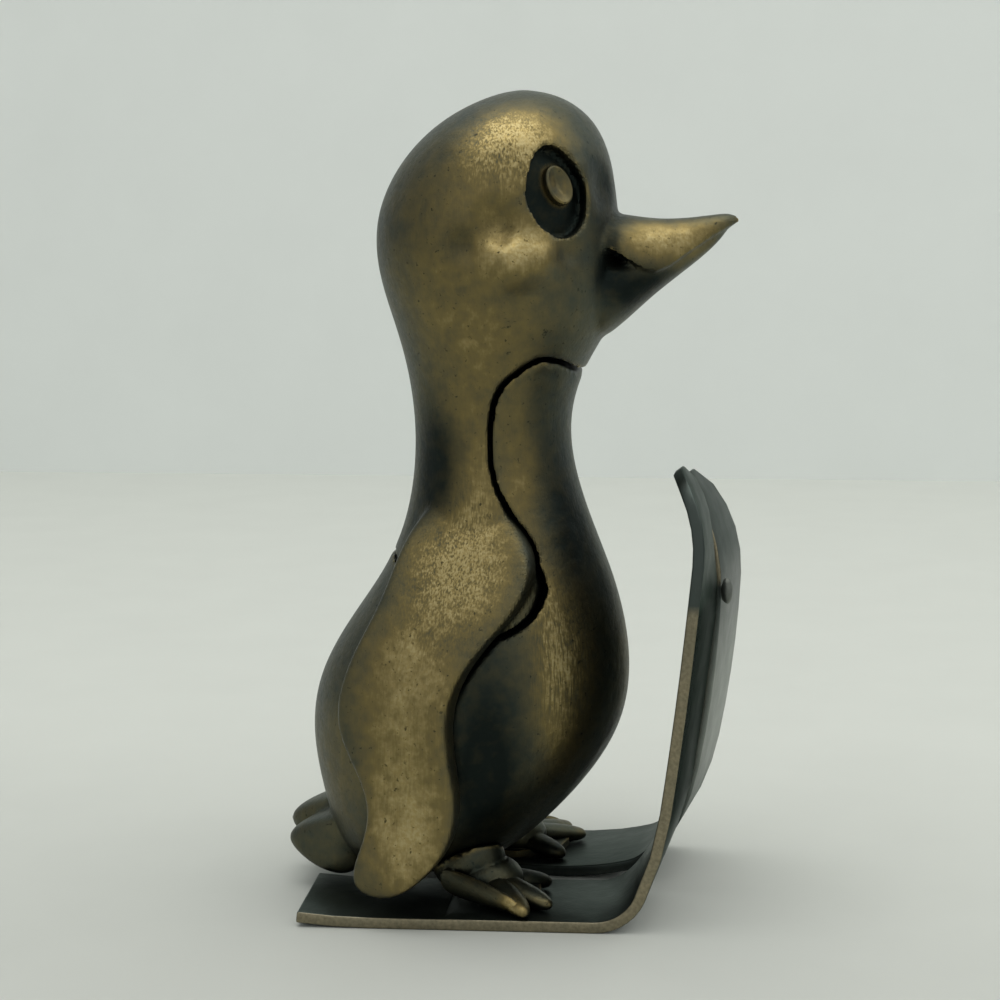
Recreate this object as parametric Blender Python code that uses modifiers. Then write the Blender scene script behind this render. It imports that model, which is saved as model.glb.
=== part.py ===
"""Pewter penguin figurine on skis.

The bird faces +X, its left is +Y, and the skis stand on z = 0. A head-and-wings casting sits on a body
casting along an open seam, the body stands on two webbed feet, and each foot is screwed to a ski. The
skis point inward, and a drop of solder joins their turned-up fronts. Sizes are in millimetres, times MM.
Heights on the bird are measured from the top face of the skis.
"""
import bmesh
import bpy
from math import atan2, cos, pi, radians, sin, tan
from mathutils import Matrix, Vector

MM = 0.001

# Room left between touching pieces, and the wider open seam between the two castings
CLEARANCE = 0.3
SEAM_GAP = 0.44

# Skis: each run of the path is a length and the degrees it turns upward, from the tail to the tip
SKI_THICKNESS = 1.25
SKI_TAIL_WIDTH = 14.0
SKI_FRONT_WIDTH = 16.0
SKI_TIP_WIDTH = 2.4
SKI_TIP_LENGTH = 16.0
SKI_TAIL_KICK = 7.0
RIGHT_SKI_TAIL = (-17.5, -11.4)
RIGHT_SKI_TOE_IN = 4.8
RIGHT_SKI_RUNS = ((8.0, 7), (24.6, 0), (6.8, 66), (10.0, 15), (27.0, 3), (10.4, 42))
LEFT_SKI_TAIL_X = -18.6
LEFT_SKI_TOE_IN = 4.2
LEFT_SKI_RUNS = ((8.0, 7), (17.6, 0), (7.3, 9), (3.8, 7), (3.0, 29), (5.8, 20), (6.8, 13), (20.0, 9),
                 (14.4, 44))

# The right ski was bent askew, so that its inner edge stands forward: height, and the turn there in degrees
RIGHT_SKI_TWIST = ((1.0, 0.0), (11.0, 8.0), (33.0, 8.0), (43.0, 3.0))

# The skis' fronts meet edge to edge, the left one ahead, and a drop of solder lies in their corner
SKI_EDGE_GAP = 0.35
SOLDER_HEIGHT = 34.8
SOLDER_SIZE = (0.7, 0.8, 1.5)

# Screws through the skis
SCREW_PLACE = (0.2, 8.4)
SCREW_RADIUS = 1.0
SCREW_LENGTH = 8.9
SCREW_HEAD_RADIUS = 2.0
SCREW_HEAD_HEIGHT = 1.0
SCREW_RECESS = 0.1
SLOT_WIDTH = 0.5
SLOT_DEPTH = 0.35

# Stud that locates the head casting on the body
STUD_RADIUS = 1.5
STUD_X = -2.4
STUD_BOTTOM = 25.8
STUD_LENGTH = 19.0
STUD_CHAMFER = 0.5

# Bird without wings, bills and tail: height, rear x, front x, half width
BIRD_RINGS = (
    (88.2, 2.4, 10.4, 4.6), (85.8, -2.8, 14.0, 9.2), (81.3, -7.5, 16.0, 12.6), (75.3, -10.4, 16.6, 13.7),
    (69.3, -10.2, 16.9, 13.6), (63.8, -8.4, 16.4, 12.0), (58.8, -7.0, 12.7, 9.9), (52.8, -6.2, 10.8, 8.7),
    (46.8, -6.4, 11.5, 8.8), (40.8, -7.6, 13.5, 10.2), (35.3, -10.2, 15.7, 12.2), (29.8, -14.4, 17.2, 14.0),
    (23.8, -18.0, 17.8, 15.1), (17.8, -19.0, 16.7, 15.3), (12.3, -18.2, 13.2, 14.7), (7.3, -17.0, 8.6, 13.0),
    (3.3, -15.8, 4.0, 10.4), (1.1, -12.0, -1.0, 5.6))
BIRD_TOP = (6.2, 89.0)
BIRD_BOTTOM = (-7.0, 0.8)

# Seam seen from the side: throat, breast, under the wing, back
SEAM = ((12.9, 57.4), (11.4, 59.3), (9.2, 59.9), (7.0, 58.7), (4.5, 56.2), (3.6, 51.8), (4.0, 46.8),
        (6.5, 41.7), (9.0, 36.7), (9.3, 34.4), (7.6, 31.6), (3.0, 30.2), (-3.0, 33.4), (-8.9, 38.1))

# Wing: height, rear x, front x, rear y, front y, half thickness
WING_RINGS = (
    (44.8, -2.6, 4.0, 5.6, 6.6, 1.6), (40.8, -5.6, 7.6, 7.8, 9.2, 2.1),
    (36.8, -6.8, 9.0, 9.7, 11.3, 2.3), (32.8, -8.2, 6.8, 11.6, 13.7, 2.2),
    (28.8, -10.4, 2.9, 12.6, 15.4, 2.0), (24.8, -11.9, 0.5, 13.1, 16.7, 1.8),
    (20.8, -12.6, 0.0, 13.5, 17.3, 1.6), (16.8, -10.8, 0.6, 14.4, 17.6, 1.5),
    (12.8, -8.6, 1.3, 15.4, 17.6, 1.5), (8.8, -9.0, 0.6, 16.1, 17.7, 1.4),
    (5.4, -10.6, -1.8, 16.7, 18.0, 1.3), (3.1, -10.5, -4.6, 17.1, 18.2, 1.0))
WING_TOP = (0.6, 6.0, 47.3)
WING_TIP = (-7.7, 17.6, 1.7)

# Bills: x, middle height, half width, half height
UPPER_BILL = ((14.0, 72.2, 5.8, 4.0), (18.0, 72.0, 4.9, 3.0), (22.0, 72.5, 3.6, 2.1), (26.0, 73.5, 2.2, 1.2))
UPPER_BILL_ROOT = (10.0, 72.2)
UPPER_BILL_TIP = (31.8, 75.3)
LOWER_BILL = ((13.5, 65.4, 6.0, 4.6), (17.5, 67.1, 5.0, 3.5), (21.5, 69.2, 3.5, 2.2), (25.5, 71.8, 1.9, 1.1))
LOWER_BILL_ROOT = (9.5, 65.6)
LOWER_BILL_TIP = (29.8, 74.3)

# Eye: where it looks, and the half sizes of its hollow and of the raised pupil
EYE_CENTRE = (3.2, 75.8)
EYE_REACH = 13.6
EYE_TURN = 49.5
EYE_RISE = 9.0
SOCKET_SIZE = (3.9, 5.05, 1.9)
SOCKET_DEPTH = 1.55
SOCKET_LEAN = 10.0
PUPIL_SIZE = (1.35, 2.2, 0.95)
PUPIL_SINK = 1.05
PUPIL_TURN = 46.0
PUPIL_RISE = 12.6
PUPIL_LEAN = 20.0

# Tail lobe: x, middle height, half width, half height, and where each lobe stands from the middle
TAIL_RINGS = ((-14.0, 4.8, 3.9, 3.8), (-17.0, 4.4, 3.6, 3.7), (-19.4, 4.5, 2.9, 2.6), (-21.0, 4.6, 1.9, 1.5))
TAIL_ROOT = (-11.0, 5.2)
TAIL_TIP = (-22.9, 4.7)
TAIL_LOBES = (("left", (-0.2, 2.6, 0.15)), ("right", (0.15, -2.4, -0.1)))

# Left foot seen from above, its toes (part of the way, half width, half height) and its heel
ANKLE = (2.4, 8.4, 2.2)
HEEL_SIZE = (4.4, 3.6, 2.8)
TOE_TIPS = ((8.4, 16.6), (10.5, 13.0), (9.2, 5.2))
TOE_RINGS = ((0.15, 1.5, 1.2), (0.45, 1.75, 1.35), (0.75, 1.35, 1.05), (0.92, 0.8, 0.65))
TOE_TIP_HEIGHT = 0.8
WEB = ((-2.6, 7.0), (1.2, 11.0), (5.2, 14.4), (8.0, 13.6), (9.0, 10.6), (8.4, 7.0), (3.6, 4.6), (-1.0, 5.0))
WEB_THICKNESS = 1.0

# Bare metal colours
DARK_PEWTER = (0.10, 0.09, 0.065)
SKI_PEWTER = (0.12, 0.115, 0.095)
SOLDER_GREY = (0.20, 0.20, 0.19)
SCREW_STEEL = (0.35, 0.35, 0.34)

# Reach of the cutting blocks, larger than the whole figure
BEYOND = 120.0


def start_scene():
    """An empty scene with a collection for the pieces and one for the shapes that cut them."""
    for old in list(bpy.data.objects):
        bpy.data.objects.remove(old, do_unlink=True)
    found = []
    for name in ("pewter_penguin_figurine", "cutters"):
        collection = bpy.data.collections.new(name)
        bpy.context.scene.collection.children.link(collection)
        found.append(collection)
    return found


PIECES, CUTTERS = start_scene()


def add_empty(name, height, parent=None):
    """An empty that other things are placed from."""
    empty = bpy.data.objects.new(name, None)
    PIECES.objects.link(empty)
    empty.location.z = height * MM
    empty.parent = parent
    return empty


TABLE = add_empty("table", 0.0)
SKI_TOP = add_empty("ski_top", SKI_THICKNESS, TABLE)


def metal(name, colour, roughness):
    """A bare metal material."""
    material = bpy.data.materials.new(name)
    material.use_nodes = True
    shader = material.node_tree.nodes["Principled BSDF"]
    shader.inputs["Base Color"].default_value = (*colour, 1.0)
    shader.inputs["Metallic"].default_value = 1.0
    shader.inputs["Roughness"].default_value = roughness
    return material


def add_object(name, mesh, base, material=None):
    """A finished piece, or a hidden cutter when it has no material, placed from an empty."""
    thing = bpy.data.objects.new(name, mesh)
    thing.parent = base
    if material:
        PIECES.objects.link(thing)
        mesh.materials.append(material)
    else:
        CUTTERS.objects.link(thing)
        thing.hide_render = True
        thing.display_type = "WIRE"
    return thing


def to_mesh(name, form):
    """A smooth mesh in metres from a form drawn in millimetres."""
    bmesh.ops.scale(form, vec=(MM, MM, MM), verts=form.verts)
    bmesh.ops.recalc_face_normals(form, faces=form.faces)
    mesh = bpy.data.meshes.new(name)
    form.to_mesh(mesh)
    form.free()
    mesh.shade_smooth()
    return mesh


def subdivide(thing, levels=1):
    """Round off a coarse cage."""
    modifier = thing.modifiers.new("Subdivision", "SUBSURF")
    modifier.levels = levels
    modifier.render_levels = levels


def combine(thing, other, operation):
    """Join with, cut by, or keep only what lies in, another closed shape."""
    modifier = thing.modifiers.new(operation.title() + " " + other.name, "BOOLEAN")
    modifier.operation = operation
    modifier.solver = "EXACT"
    modifier.object = other


def ringed_mesh(name, rings, first_end, last_end, around):
    """A sphere whose rings are reshaped: each ring is a centre and its two half-axis vectors."""
    bands = len(rings) + 1
    form = bmesh.new()
    bmesh.ops.create_uvsphere(form, u_segments=around, v_segments=bands, radius=1.0)
    swell = 6.0 / (4.0 + 2.0 * cos(2.0 * pi / around))
    for vertex in form.verts:
        x, y, z = vertex.co
        band = round(atan2((x * x + y * y) ** 0.5, z) / pi * bands)
        if band == 0:
            vertex.co = Vector(first_end)
        elif band == bands:
            vertex.co = Vector(last_end)
        else:
            centre, side, front = (Vector(part) for part in rings[band - 1])
            turn = atan2(y, x)
            vertex.co = centre + swell * (side * cos(turn) + front * sin(turn))
    return to_mesh(name, form)


def ringed_form(name, rings, first_end, last_end, around=8):
    """The smooth solid inside a ringed cage, as a cutter or as something to join."""
    thing = add_object(name, ringed_mesh(name, rings, first_end, last_end, around), SKI_TOP)
    subdivide(thing)
    return thing


def ellipsoid(name, size, place, turn=Matrix.Identity(4), around=16, rings=10):
    """A stretched sphere on the bird, placed and turned."""
    form = bmesh.new()
    bmesh.ops.create_uvsphere(form, u_segments=around, v_segments=rings, radius=1.0)
    bmesh.ops.transform(form, verts=form.verts,
                        matrix=Matrix.Translation(place) @ turn @ Matrix.Diagonal((*size, 1.0)))
    return add_object(name, to_mesh(name, form), SKI_TOP)


def slab_mesh(name, outline, low, high, upright=False):
    """A flat outline extruded from low to high: an upright one is drawn in x and z and runs along y."""
    curve = bpy.data.curves.new(name, "CURVE")
    curve.dimensions = "2D"
    curve.fill_mode = "BOTH"
    curve.extrude = (high - low) / 2
    spline = curve.splines.new("POLY")
    spline.points.add(len(outline) - 1)
    for point, (a, b) in zip(spline.points, outline):
        point.co = (a, b, 0.0, 1.0)
    spline.use_cyclic_u = True
    guide = bpy.data.objects.new(name, curve)
    CUTTERS.objects.link(guide)
    flat = bpy.data.meshes.new_from_object(guide.evaluated_get(bpy.context.evaluated_depsgraph_get()))
    bpy.data.objects.remove(guide)
    form = bmesh.new()
    form.from_mesh(flat)
    bpy.data.meshes.remove(flat)
    bmesh.ops.remove_doubles(form, verts=form.verts, dist=0.01)
    stand = Matrix.Rotation(radians(90.0), 4, "X") if upright else Matrix.Identity(4)
    bmesh.ops.transform(form, matrix=stand @ Matrix.Translation((0, 0, (high + low) / 2)), verts=form.verts)
    return to_mesh(name, form)


def turned(name, profile, place, base, material=None, steps=24):
    """A profile of radius and height, from top to bottom, turned about an upright axis."""
    mesh = bpy.data.meshes.new(name)
    points = [(radius * MM, 0.0, height * MM) for radius, height in profile]
    mesh.from_pydata(points, [(i, i + 1) for i in range(len(points) - 1)], [])
    thing = add_object(name, mesh, base, material)
    thing.location = (place[0] * MM, place[1] * MM, 0.0)
    spin = thing.modifiers.new("Turned", "SCREW")
    spin.steps = steps
    spin.render_steps = steps
    spin.use_merge_vertices = True
    spin.merge_threshold = 0.00001
    spin.use_smooth_shade = True
    return thing


def grown(name, cage):
    """A cage's smooth form swollen by the clearance, to cut its neighbour with."""
    thing = add_object(name, cage.copy(), SKI_TOP)
    subdivide(thing)
    swell = thing.modifiers.new("Clearance", "DISPLACE")
    swell.strength = CLEARANCE * MM
    swell.mid_level = 0.0
    return thing


def smooth_line(points, pieces=4):
    """A smooth curve through a few points."""
    line = []
    last = len(points) - 1
    for i in range(last):
        a, b, c, d = (Vector(points[min(max(i + k, 0), last)]) for k in (-1, 0, 1, 2))
        for t in (step / pieces for step in range(pieces)):
            bend = (2 * a - 5 * b + 4 * c - d) * t + (3 * b - a - 3 * c + d) * t * t
            line.append(b + t / 2 * (c - a + bend))
    return line + [Vector(points[last])]


def moved_sideways(line, distance):
    """A line moved toward its left as it runs."""
    moved = []
    for i, point in enumerate(line):
        along = (line[min(i + 1, len(line) - 1)] - line[max(i - 1, 0)]).normalized()
        moved.append(point + distance * Vector((-along.y, along.x)))
    return moved


def coat_block(name, distance):
    """The block behind and above the seam, which is moved forward by a distance."""
    seam = moved_sideways(smooth_line(SEAM), distance)
    corners = [(BEYOND, seam[0].y), *(tuple(point) for point in seam), (-BEYOND, seam[-1].y),
               (-BEYOND, BEYOND), (BEYOND, BEYOND)]
    return add_object(name, slab_mesh(name, corners, -BEYOND, BEYOND, upright=True), SKI_TOP)


def bird_cage(name):
    """The cage of the whole bird without wings, bills and tail."""
    rings = [(((rear + front) / 2, 0, z), ((front - rear) / 2, 0, 0), (0, half, 0))
             for z, rear, front, half in BIRD_RINGS]
    top = (BIRD_TOP[0], 0, BIRD_TOP[1])
    bottom = (BIRD_BOTTOM[0], 0, BIRD_BOTTOM[1])
    return ringed_mesh(name, rings, top, bottom, around=20)


def wing_form(name, side):
    """One hanging wing, a thick leaf that starts inside the shoulder."""
    rings = []
    for z, rear_x, front_x, rear_y, front_y, thick in WING_RINGS:
        rear = Vector((rear_x, rear_y * side, z))
        front = Vector((front_x, front_y * side, z))
        along = (front - rear) / 2
        across = Vector((-along.y, along.x, 0.0)).normalized() * thick
        rings.append(((rear + front) / 2, along, across))
    top = (WING_TOP[0], WING_TOP[1] * side, WING_TOP[2])
    tip = (WING_TIP[0], WING_TIP[1] * side, WING_TIP[2])
    return ringed_form(name, rings, top, tip, around=10)


def lengthwise_form(name, rings, root, tip, shift=(0.0, 0.0, 0.0)):
    """A form that runs along x, such as a bill or a tail lobe, and may be shifted from the middle."""
    shift = Vector(shift)
    shapes = [(shift + Vector((x, 0, z)), (0, wide, 0), (0, 0, high)) for x, z, wide, high in rings]
    ends = [shift + Vector((x, 0, z)) for x, z in (root, tip)]
    return ringed_form(name, shapes, *ends)


def eye_part(side, turn_out, rise, depth, lean):
    """Place and turn of an eye's part: its own x is across the eye, y is up and z looks out."""
    turn, rise = radians(turn_out * side), radians(rise)
    out = Vector((cos(rise) * cos(turn), cos(rise) * sin(turn), sin(rise)))
    place = Vector((EYE_CENTRE[0], 0.0, EYE_CENTRE[1])) + out * (EYE_REACH - depth)
    facing = out.to_track_quat("Z", "Y").to_matrix().to_4x4()
    return place, facing @ Matrix.Rotation(radians(-lean * side), 4, "Z")


def make_head_and_wings(pewter, wings):
    """The upper casting: head, back of the neck, shoulders and wings in one piece."""
    coat = add_object("head_and_wings", bird_cage("head_and_wings"), SKI_TOP, pewter)
    subdivide(coat)
    combine(coat, coat_block("coat_block", -SEAM_GAP / 2), "INTERSECT")
    for side, wing in zip((1, -1), wings):
        combine(coat, wing, "UNION")
        place, turn = eye_part(side, EYE_TURN, EYE_RISE, SOCKET_DEPTH - SOCKET_SIZE[2], SOCKET_LEAN)
        combine(coat, ellipsoid(wing.name + "_eye_socket", SOCKET_SIZE, place, turn), "DIFFERENCE")
        place, turn = eye_part(side, PUPIL_TURN, PUPIL_RISE, PUPIL_SINK, PUPIL_LEAN)
        combine(coat, ellipsoid(wing.name + "_eye_pupil", PUPIL_SIZE, place, turn, 12, 8), "UNION")
    combine(coat, lengthwise_form("lower_bill", LOWER_BILL, LOWER_BILL_ROOT, LOWER_BILL_TIP), "UNION")
    combine(coat, lengthwise_form("upper_bill", UPPER_BILL, UPPER_BILL_ROOT, UPPER_BILL_TIP), "UNION")
    return coat


def make_body(pewter, wings):
    """The lower casting: breast, belly, back and tail, with room for the wings that lie against it."""
    body = add_object("body", bird_cage("body"), SKI_TOP, pewter)
    subdivide(body)
    for word, shift in TAIL_LOBES:
        lobe = lengthwise_form(word + "_tail_lobe", TAIL_RINGS, TAIL_ROOT, TAIL_TIP, shift)
        combine(body, lobe, "UNION")
    combine(body, coat_block("coat_room", SEAM_GAP / 2), "DIFFERENCE")
    for wing in wings:
        combine(body, grown(wing.name + "_room", wing.data), "DIFFERENCE")
    return body


def make_foot(name, side, pewter, belly):
    """A webbed foot with three toes and a heel, hollowed where the belly rests on it."""
    sole = CLEARANCE
    foot = add_object(name, slab_mesh(name, [(x, y * side) for x, y in WEB], sole, sole + WEB_THICKNESS),
                      SKI_TOP, pewter)
    ankle = Vector((ANKLE[0], ANKLE[1] * side, ANKLE[2]))
    combine(foot, ellipsoid(name + "_heel", HEEL_SIZE, ankle, around=16, rings=10), "UNION")
    for number, (tip_x, tip_y) in enumerate(TOE_TIPS, 1):
        tip = Vector((tip_x, tip_y * side, TOE_TIP_HEIGHT))
        across = (tip - ankle).cross(Vector((0, 0, 1))).normalized()
        rings = [(ankle.lerp(tip, part), across * wide, (0, 0, high)) for part, wide, high in TOE_RINGS]
        combine(foot, ringed_form("%s_toe_%d" % (name, number), rings, ankle, tip), "UNION")
    square = ((-BEYOND, -BEYOND), (BEYOND, -BEYOND), (BEYOND, BEYOND), (-BEYOND, BEYOND))
    ground = add_object(name + "_ground", slab_mesh(name + "_ground", square, -BEYOND, sole), SKI_TOP)
    combine(foot, ground, "DIFFERENCE")
    combine(foot, belly, "DIFFERENCE")
    return foot


def ski_path(runs):
    """Stations of a ski's underside from tail to tip: forward, up, and length so far."""
    heading = -radians(SKI_TAIL_KICK)
    stations = [(0.0, 0.0, 0.0)]
    for length, turn in runs:
        steps = max(2, round(length / 4), round(turn / 9))
        for _ in range(steps):
            x, z, along = stations[-1]
            middle = heading + radians(turn) / steps / 2
            heading += radians(turn) / steps
            step = length / steps
            stations.append((x + step * cos(middle), z + step * sin(middle), along + step))
    lowest = min(z for _, z, _ in stations)
    return [(x, z - lowest, along) for x, z, along in stations]


def ski_half_width(along, total):
    """Half a ski's width: it widens toward the front, then closes in a rounded point."""
    share = min(along / (total - SKI_TIP_LENGTH), 1.0)
    half = (SKI_TAIL_WIDTH + (SKI_FRONT_WIDTH - SKI_TAIL_WIDTH) * share) / 2
    closing = max(0.0, 1.0 - (total - along) / SKI_TIP_LENGTH)
    return SKI_TIP_WIDTH / 2 + (half - SKI_TIP_WIDTH / 2) * (1.0 - closing ** 2) ** 0.5


def twist_forward(side, inward, height):
    """How far forward a place on a ski stands for its twist, by its distance inward and its height."""
    if side > 0:
        return 0.0
    low, high = RIGHT_SKI_TWIST[0], RIGHT_SKI_TWIST[-1]
    height = min(max(height, low[0]), high[0] - 0.001)
    for low, high in zip(RIGHT_SKI_TWIST, RIGHT_SKI_TWIST[1:]):
        if low[0] <= height < high[0]:
            break
    share = (height - low[0]) / (high[0] - low[0])
    turned = low[1] + (high[1] - low[1]) * share ** 2 * (3.0 - 2.0 * share)
    return tan(radians(turned)) * (inward + SKI_FRONT_WIDTH / 2)


def ski_inner_edge(side, runs, toe_in, tail, height):
    """Where the inner edge of a ski's front face is at a height."""
    stations = ski_path(runs)
    front = [station for station in stations if station[0] > stations[-1][2] / 3]
    above = next(i for i, station in enumerate(front) if station[1] >= height)
    lower, upper = Vector(front[above - 1]), Vector(front[above])
    x, _, along = lower.lerp(upper, (height - lower.y) / (upper.y - lower.y))
    half = ski_half_width(along, stations[-1][2])
    edge = Vector((x + twist_forward(side, half, height), -side * half))
    return Vector(tail) + Matrix.Rotation(radians(-toe_in * side), 2) @ edge


def left_ski_tail():
    """The left ski lies so far out that its inner edge just clears the right one's."""
    needed = []
    for height in range(round(SOLDER_HEIGHT / 4), round(SOLDER_HEIGHT) + 6):
        right_edge = ski_inner_edge(-1, RIGHT_SKI_RUNS, RIGHT_SKI_TOE_IN, RIGHT_SKI_TAIL, height)
        left_edge = ski_inner_edge(1, LEFT_SKI_RUNS, LEFT_SKI_TOE_IN, (LEFT_SKI_TAIL_X, 0.0), height)
        needed.append(right_edge.y + SKI_EDGE_GAP - left_edge.y)
    return (LEFT_SKI_TAIL_X, max(needed))


def make_ski(name, side, runs, toe_in, tail, strip):
    """A strip bent along its path and given its thickness upward and rearward."""
    stations = ski_path(runs)
    total = stations[-1][2]
    last = len(stations) - 1
    form = bmesh.new()
    bmesh.ops.create_grid(form, x_segments=last, y_segments=2, size=1.0)
    for vertex in form.verts:
        x, z, along = stations[round((vertex.co.x + 1.0) / 2 * last)]
        y = vertex.co.y * ski_half_width(along, total)
        vertex.co = Vector((x + twist_forward(side, -side * y, z), y, z))
    ski = add_object(name, to_mesh(name, form), TABLE, strip)
    ski.location = (tail[0] * MM, tail[1] * MM, 0.0)
    ski.rotation_euler.z = radians(-toe_in * side)
    plate = ski.modifiers.new("Plate", "SOLIDIFY")
    plate.thickness = SKI_THICKNESS * MM
    plate.offset = -1.0
    return ski


def make_screw(name, place, steel):
    """A countersunk screw with a slotted head, just under flush in its ski."""
    neck = SCREW_RECESS + SCREW_HEAD_HEIGHT
    rim = SCREW_RECESS + 0.2
    profile = ((0.0, SCREW_LENGTH), (SCREW_RADIUS * 0.6, SCREW_LENGTH), (SCREW_RADIUS, SCREW_LENGTH - 0.6),
               (SCREW_RADIUS, neck), (SCREW_HEAD_RADIUS, rim), (SCREW_HEAD_RADIUS, SCREW_RECESS),
               (0.0, SCREW_RECESS))
    screw = turned(name, profile, place, TABLE, steel)
    x, y = place
    wide = SLOT_WIDTH / 2
    long = SCREW_HEAD_RADIUS * 2
    sides = ((x - long, y - wide), (x + long, y - wide), (x + long, y + wide), (x - long, y + wide))
    groove = slab_mesh(name + "_slot", sides, -1.0, SCREW_RECESS + SLOT_DEPTH)
    combine(screw, add_object(name + "_slot", groove, TABLE), "DIFFERENCE")
    return screw


def screw_hole(name, place):
    """Room for a screw, with clearance all round, through ski and foot and into the body."""
    thin = SCREW_RADIUS + CLEARANCE
    wide = SCREW_HEAD_RADIUS + CLEARANCE
    top = SCREW_LENGTH + CLEARANCE
    profile = ((0.0, top), (thin, top), (thin, SCREW_RECESS + SCREW_HEAD_HEIGHT + CLEARANCE),
               (wide, SCREW_RECESS + CLEARANCE), (wide, -1.0), (0.0, -1.0))
    return turned(name, profile, place, TABLE)


def make_stud(steel, coat, body):
    """The stud, with its two blind holes."""
    top = STUD_BOTTOM + STUD_LENGTH
    tip = STUD_RADIUS - STUD_CHAMFER
    profile = ((0.0, top), (tip, top), (STUD_RADIUS, top - STUD_CHAMFER),
               (STUD_RADIUS, STUD_BOTTOM + STUD_CHAMFER), (tip, STUD_BOTTOM), (0.0, STUD_BOTTOM))
    turned("neck_stud", profile, (STUD_X, 0.0), SKI_TOP, steel)
    wide = STUD_RADIUS + CLEARANCE
    high = top + CLEARANCE
    low = STUD_BOTTOM - CLEARANCE
    hole = turned("stud_hole", ((0.0, high), (wide, high), (wide, low), (0.0, low)), (STUD_X, 0.0), SKI_TOP)
    combine(coat, hole, "DIFFERENCE")
    combine(body, hole, "DIFFERENCE")


def make_solder(left_tail, grey):
    """The drop in front of the right ski's face, against the left ski's inner edge."""
    right_edge = ski_inner_edge(-1, RIGHT_SKI_RUNS, RIGHT_SKI_TOE_IN, RIGHT_SKI_TAIL, SOLDER_HEIGHT)
    left_edge = ski_inner_edge(1, LEFT_SKI_RUNS, LEFT_SKI_TOE_IN, left_tail, SOLDER_HEIGHT)
    forward, sideways, _ = SOLDER_SIZE
    place = Vector((right_edge.x + CLEARANCE + forward, left_edge.y - CLEARANCE - sideways,
                    SOLDER_HEIGHT - SKI_THICKNESS))
    drop = ellipsoid("solder_form", SOLDER_SIZE, place, around=12, rings=8)
    add_object("ski_tip_joint", drop.data.copy(), SKI_TOP, grey)
    bpy.data.objects.remove(drop)


def centre_on_table():
    """Put the middle of the figure's length over the origin."""
    graph = bpy.context.evaluated_depsgraph_get()
    reach = []
    for piece in PIECES.objects:
        if piece.type == "MESH":
            solid = piece.evaluated_get(graph)
            reach += [(solid.matrix_world @ Vector(corner)).x for corner in solid.bound_box]
    TABLE.location.x = -(min(reach) + max(reach)) / 2


def make_figurine():
    """All the pieces, from the castings down to the fixings."""
    pewter = metal("dark_pewter", DARK_PEWTER, 0.45)
    strip = metal("ski_pewter", SKI_PEWTER, 0.4)
    steel = metal("screw_steel", SCREW_STEEL, 0.35)
    wings = [wing_form("left_wing", 1), wing_form("right_wing", -1)]
    belly = grown("belly_room", bird_cage("belly"))
    coat = make_head_and_wings(pewter, wings)
    body = make_body(pewter, wings)
    make_stud(steel, coat, body)
    left_tail = left_ski_tail()
    left = (1, "left", LEFT_SKI_RUNS, LEFT_SKI_TOE_IN, left_tail)
    right = (-1, "right", RIGHT_SKI_RUNS, RIGHT_SKI_TOE_IN, RIGHT_SKI_TAIL)
    for side, word, runs, toe_in, tail in (left, right):
        ski = make_ski(word + "_ski", side, runs, toe_in, tail, strip)
        foot = make_foot(word + "_foot", side, pewter, belly)
        place = (SCREW_PLACE[0], SCREW_PLACE[1] * side)
        hole = screw_hole(word + "_screw_hole", place)
        for piece in (ski, foot, body):
            combine(piece, hole, "DIFFERENCE")
        make_screw(word + "_screw", place, steel)
    make_solder(left_tail, metal("solder", SOLDER_GREY, 0.5))
    centre_on_table()


make_figurine()
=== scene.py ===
import bmesh
import bpy
from math import atan2, cos, pi, radians, sin, tan
from mathutils import Matrix, Vector


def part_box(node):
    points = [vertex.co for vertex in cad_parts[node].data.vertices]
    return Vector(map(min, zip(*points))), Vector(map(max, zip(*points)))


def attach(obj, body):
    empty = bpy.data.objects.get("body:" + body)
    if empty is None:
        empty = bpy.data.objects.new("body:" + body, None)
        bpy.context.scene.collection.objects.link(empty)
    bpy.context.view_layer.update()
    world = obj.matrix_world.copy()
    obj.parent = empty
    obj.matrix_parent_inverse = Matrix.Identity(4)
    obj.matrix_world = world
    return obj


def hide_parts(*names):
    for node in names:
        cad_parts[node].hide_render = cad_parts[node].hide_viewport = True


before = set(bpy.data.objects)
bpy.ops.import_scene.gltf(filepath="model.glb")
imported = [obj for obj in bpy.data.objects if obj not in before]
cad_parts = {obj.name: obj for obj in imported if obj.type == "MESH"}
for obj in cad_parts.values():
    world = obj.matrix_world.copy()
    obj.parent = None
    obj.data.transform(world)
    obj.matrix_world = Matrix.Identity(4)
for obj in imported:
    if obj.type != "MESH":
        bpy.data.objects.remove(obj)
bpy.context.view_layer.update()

# Table, board, camera and lamps.
# The figurine stands on a plain pale table in front of a plain pale board. The light is soft: a broad lamp
# straight overhead, a larger and weaker one high on the right, and a pale room that is dimmer at both sides.
MM = 0.001
TABLE_COLOUR = "CFD2CD"
TABLE_SIZE = 2.4
BOARD_COLOUR = "E6EAE8"
BOARD_DISTANCE = 0.35
BOARD_SIZE = (0.86, 0.9)
# The camera's place in millimetres from the table under the bird, and its turn, tilt and roll in degrees
CAMERA_PLACE = (46.7, -241.3, 80.0)
CAMERA_TURN, CAMERA_TILT, CAMERA_ROLL = 10.25, 81.8, -0.8
CAMERA_LENS = 79.13
LAMP_TONE = "FFFDF8"
LAMP_TARGET = Vector((0.0, 0.0, 0.05))
# Width of the roller's texture in the paint, in millimetres
TABLE_GRAIN, BOARD_GRAIN = 16.667, 25.0
# Depths between which painted shade darkens the table toward the camera, and the share of its colour left in
# front
TABLE_PAINTED_SHADE_DEPTHS = (-0.11, 0.07)
TABLE_PAINTED_FRONT_SHADE = 0.80
ROOM_BRIGHT, ROOM_DIM = "D4D6D3", "A0A4A3"
# How much the room's direction points sideways where it starts to dim and where it's dimmest
ROOM_SIDES = (0.50, 0.90)
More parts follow.
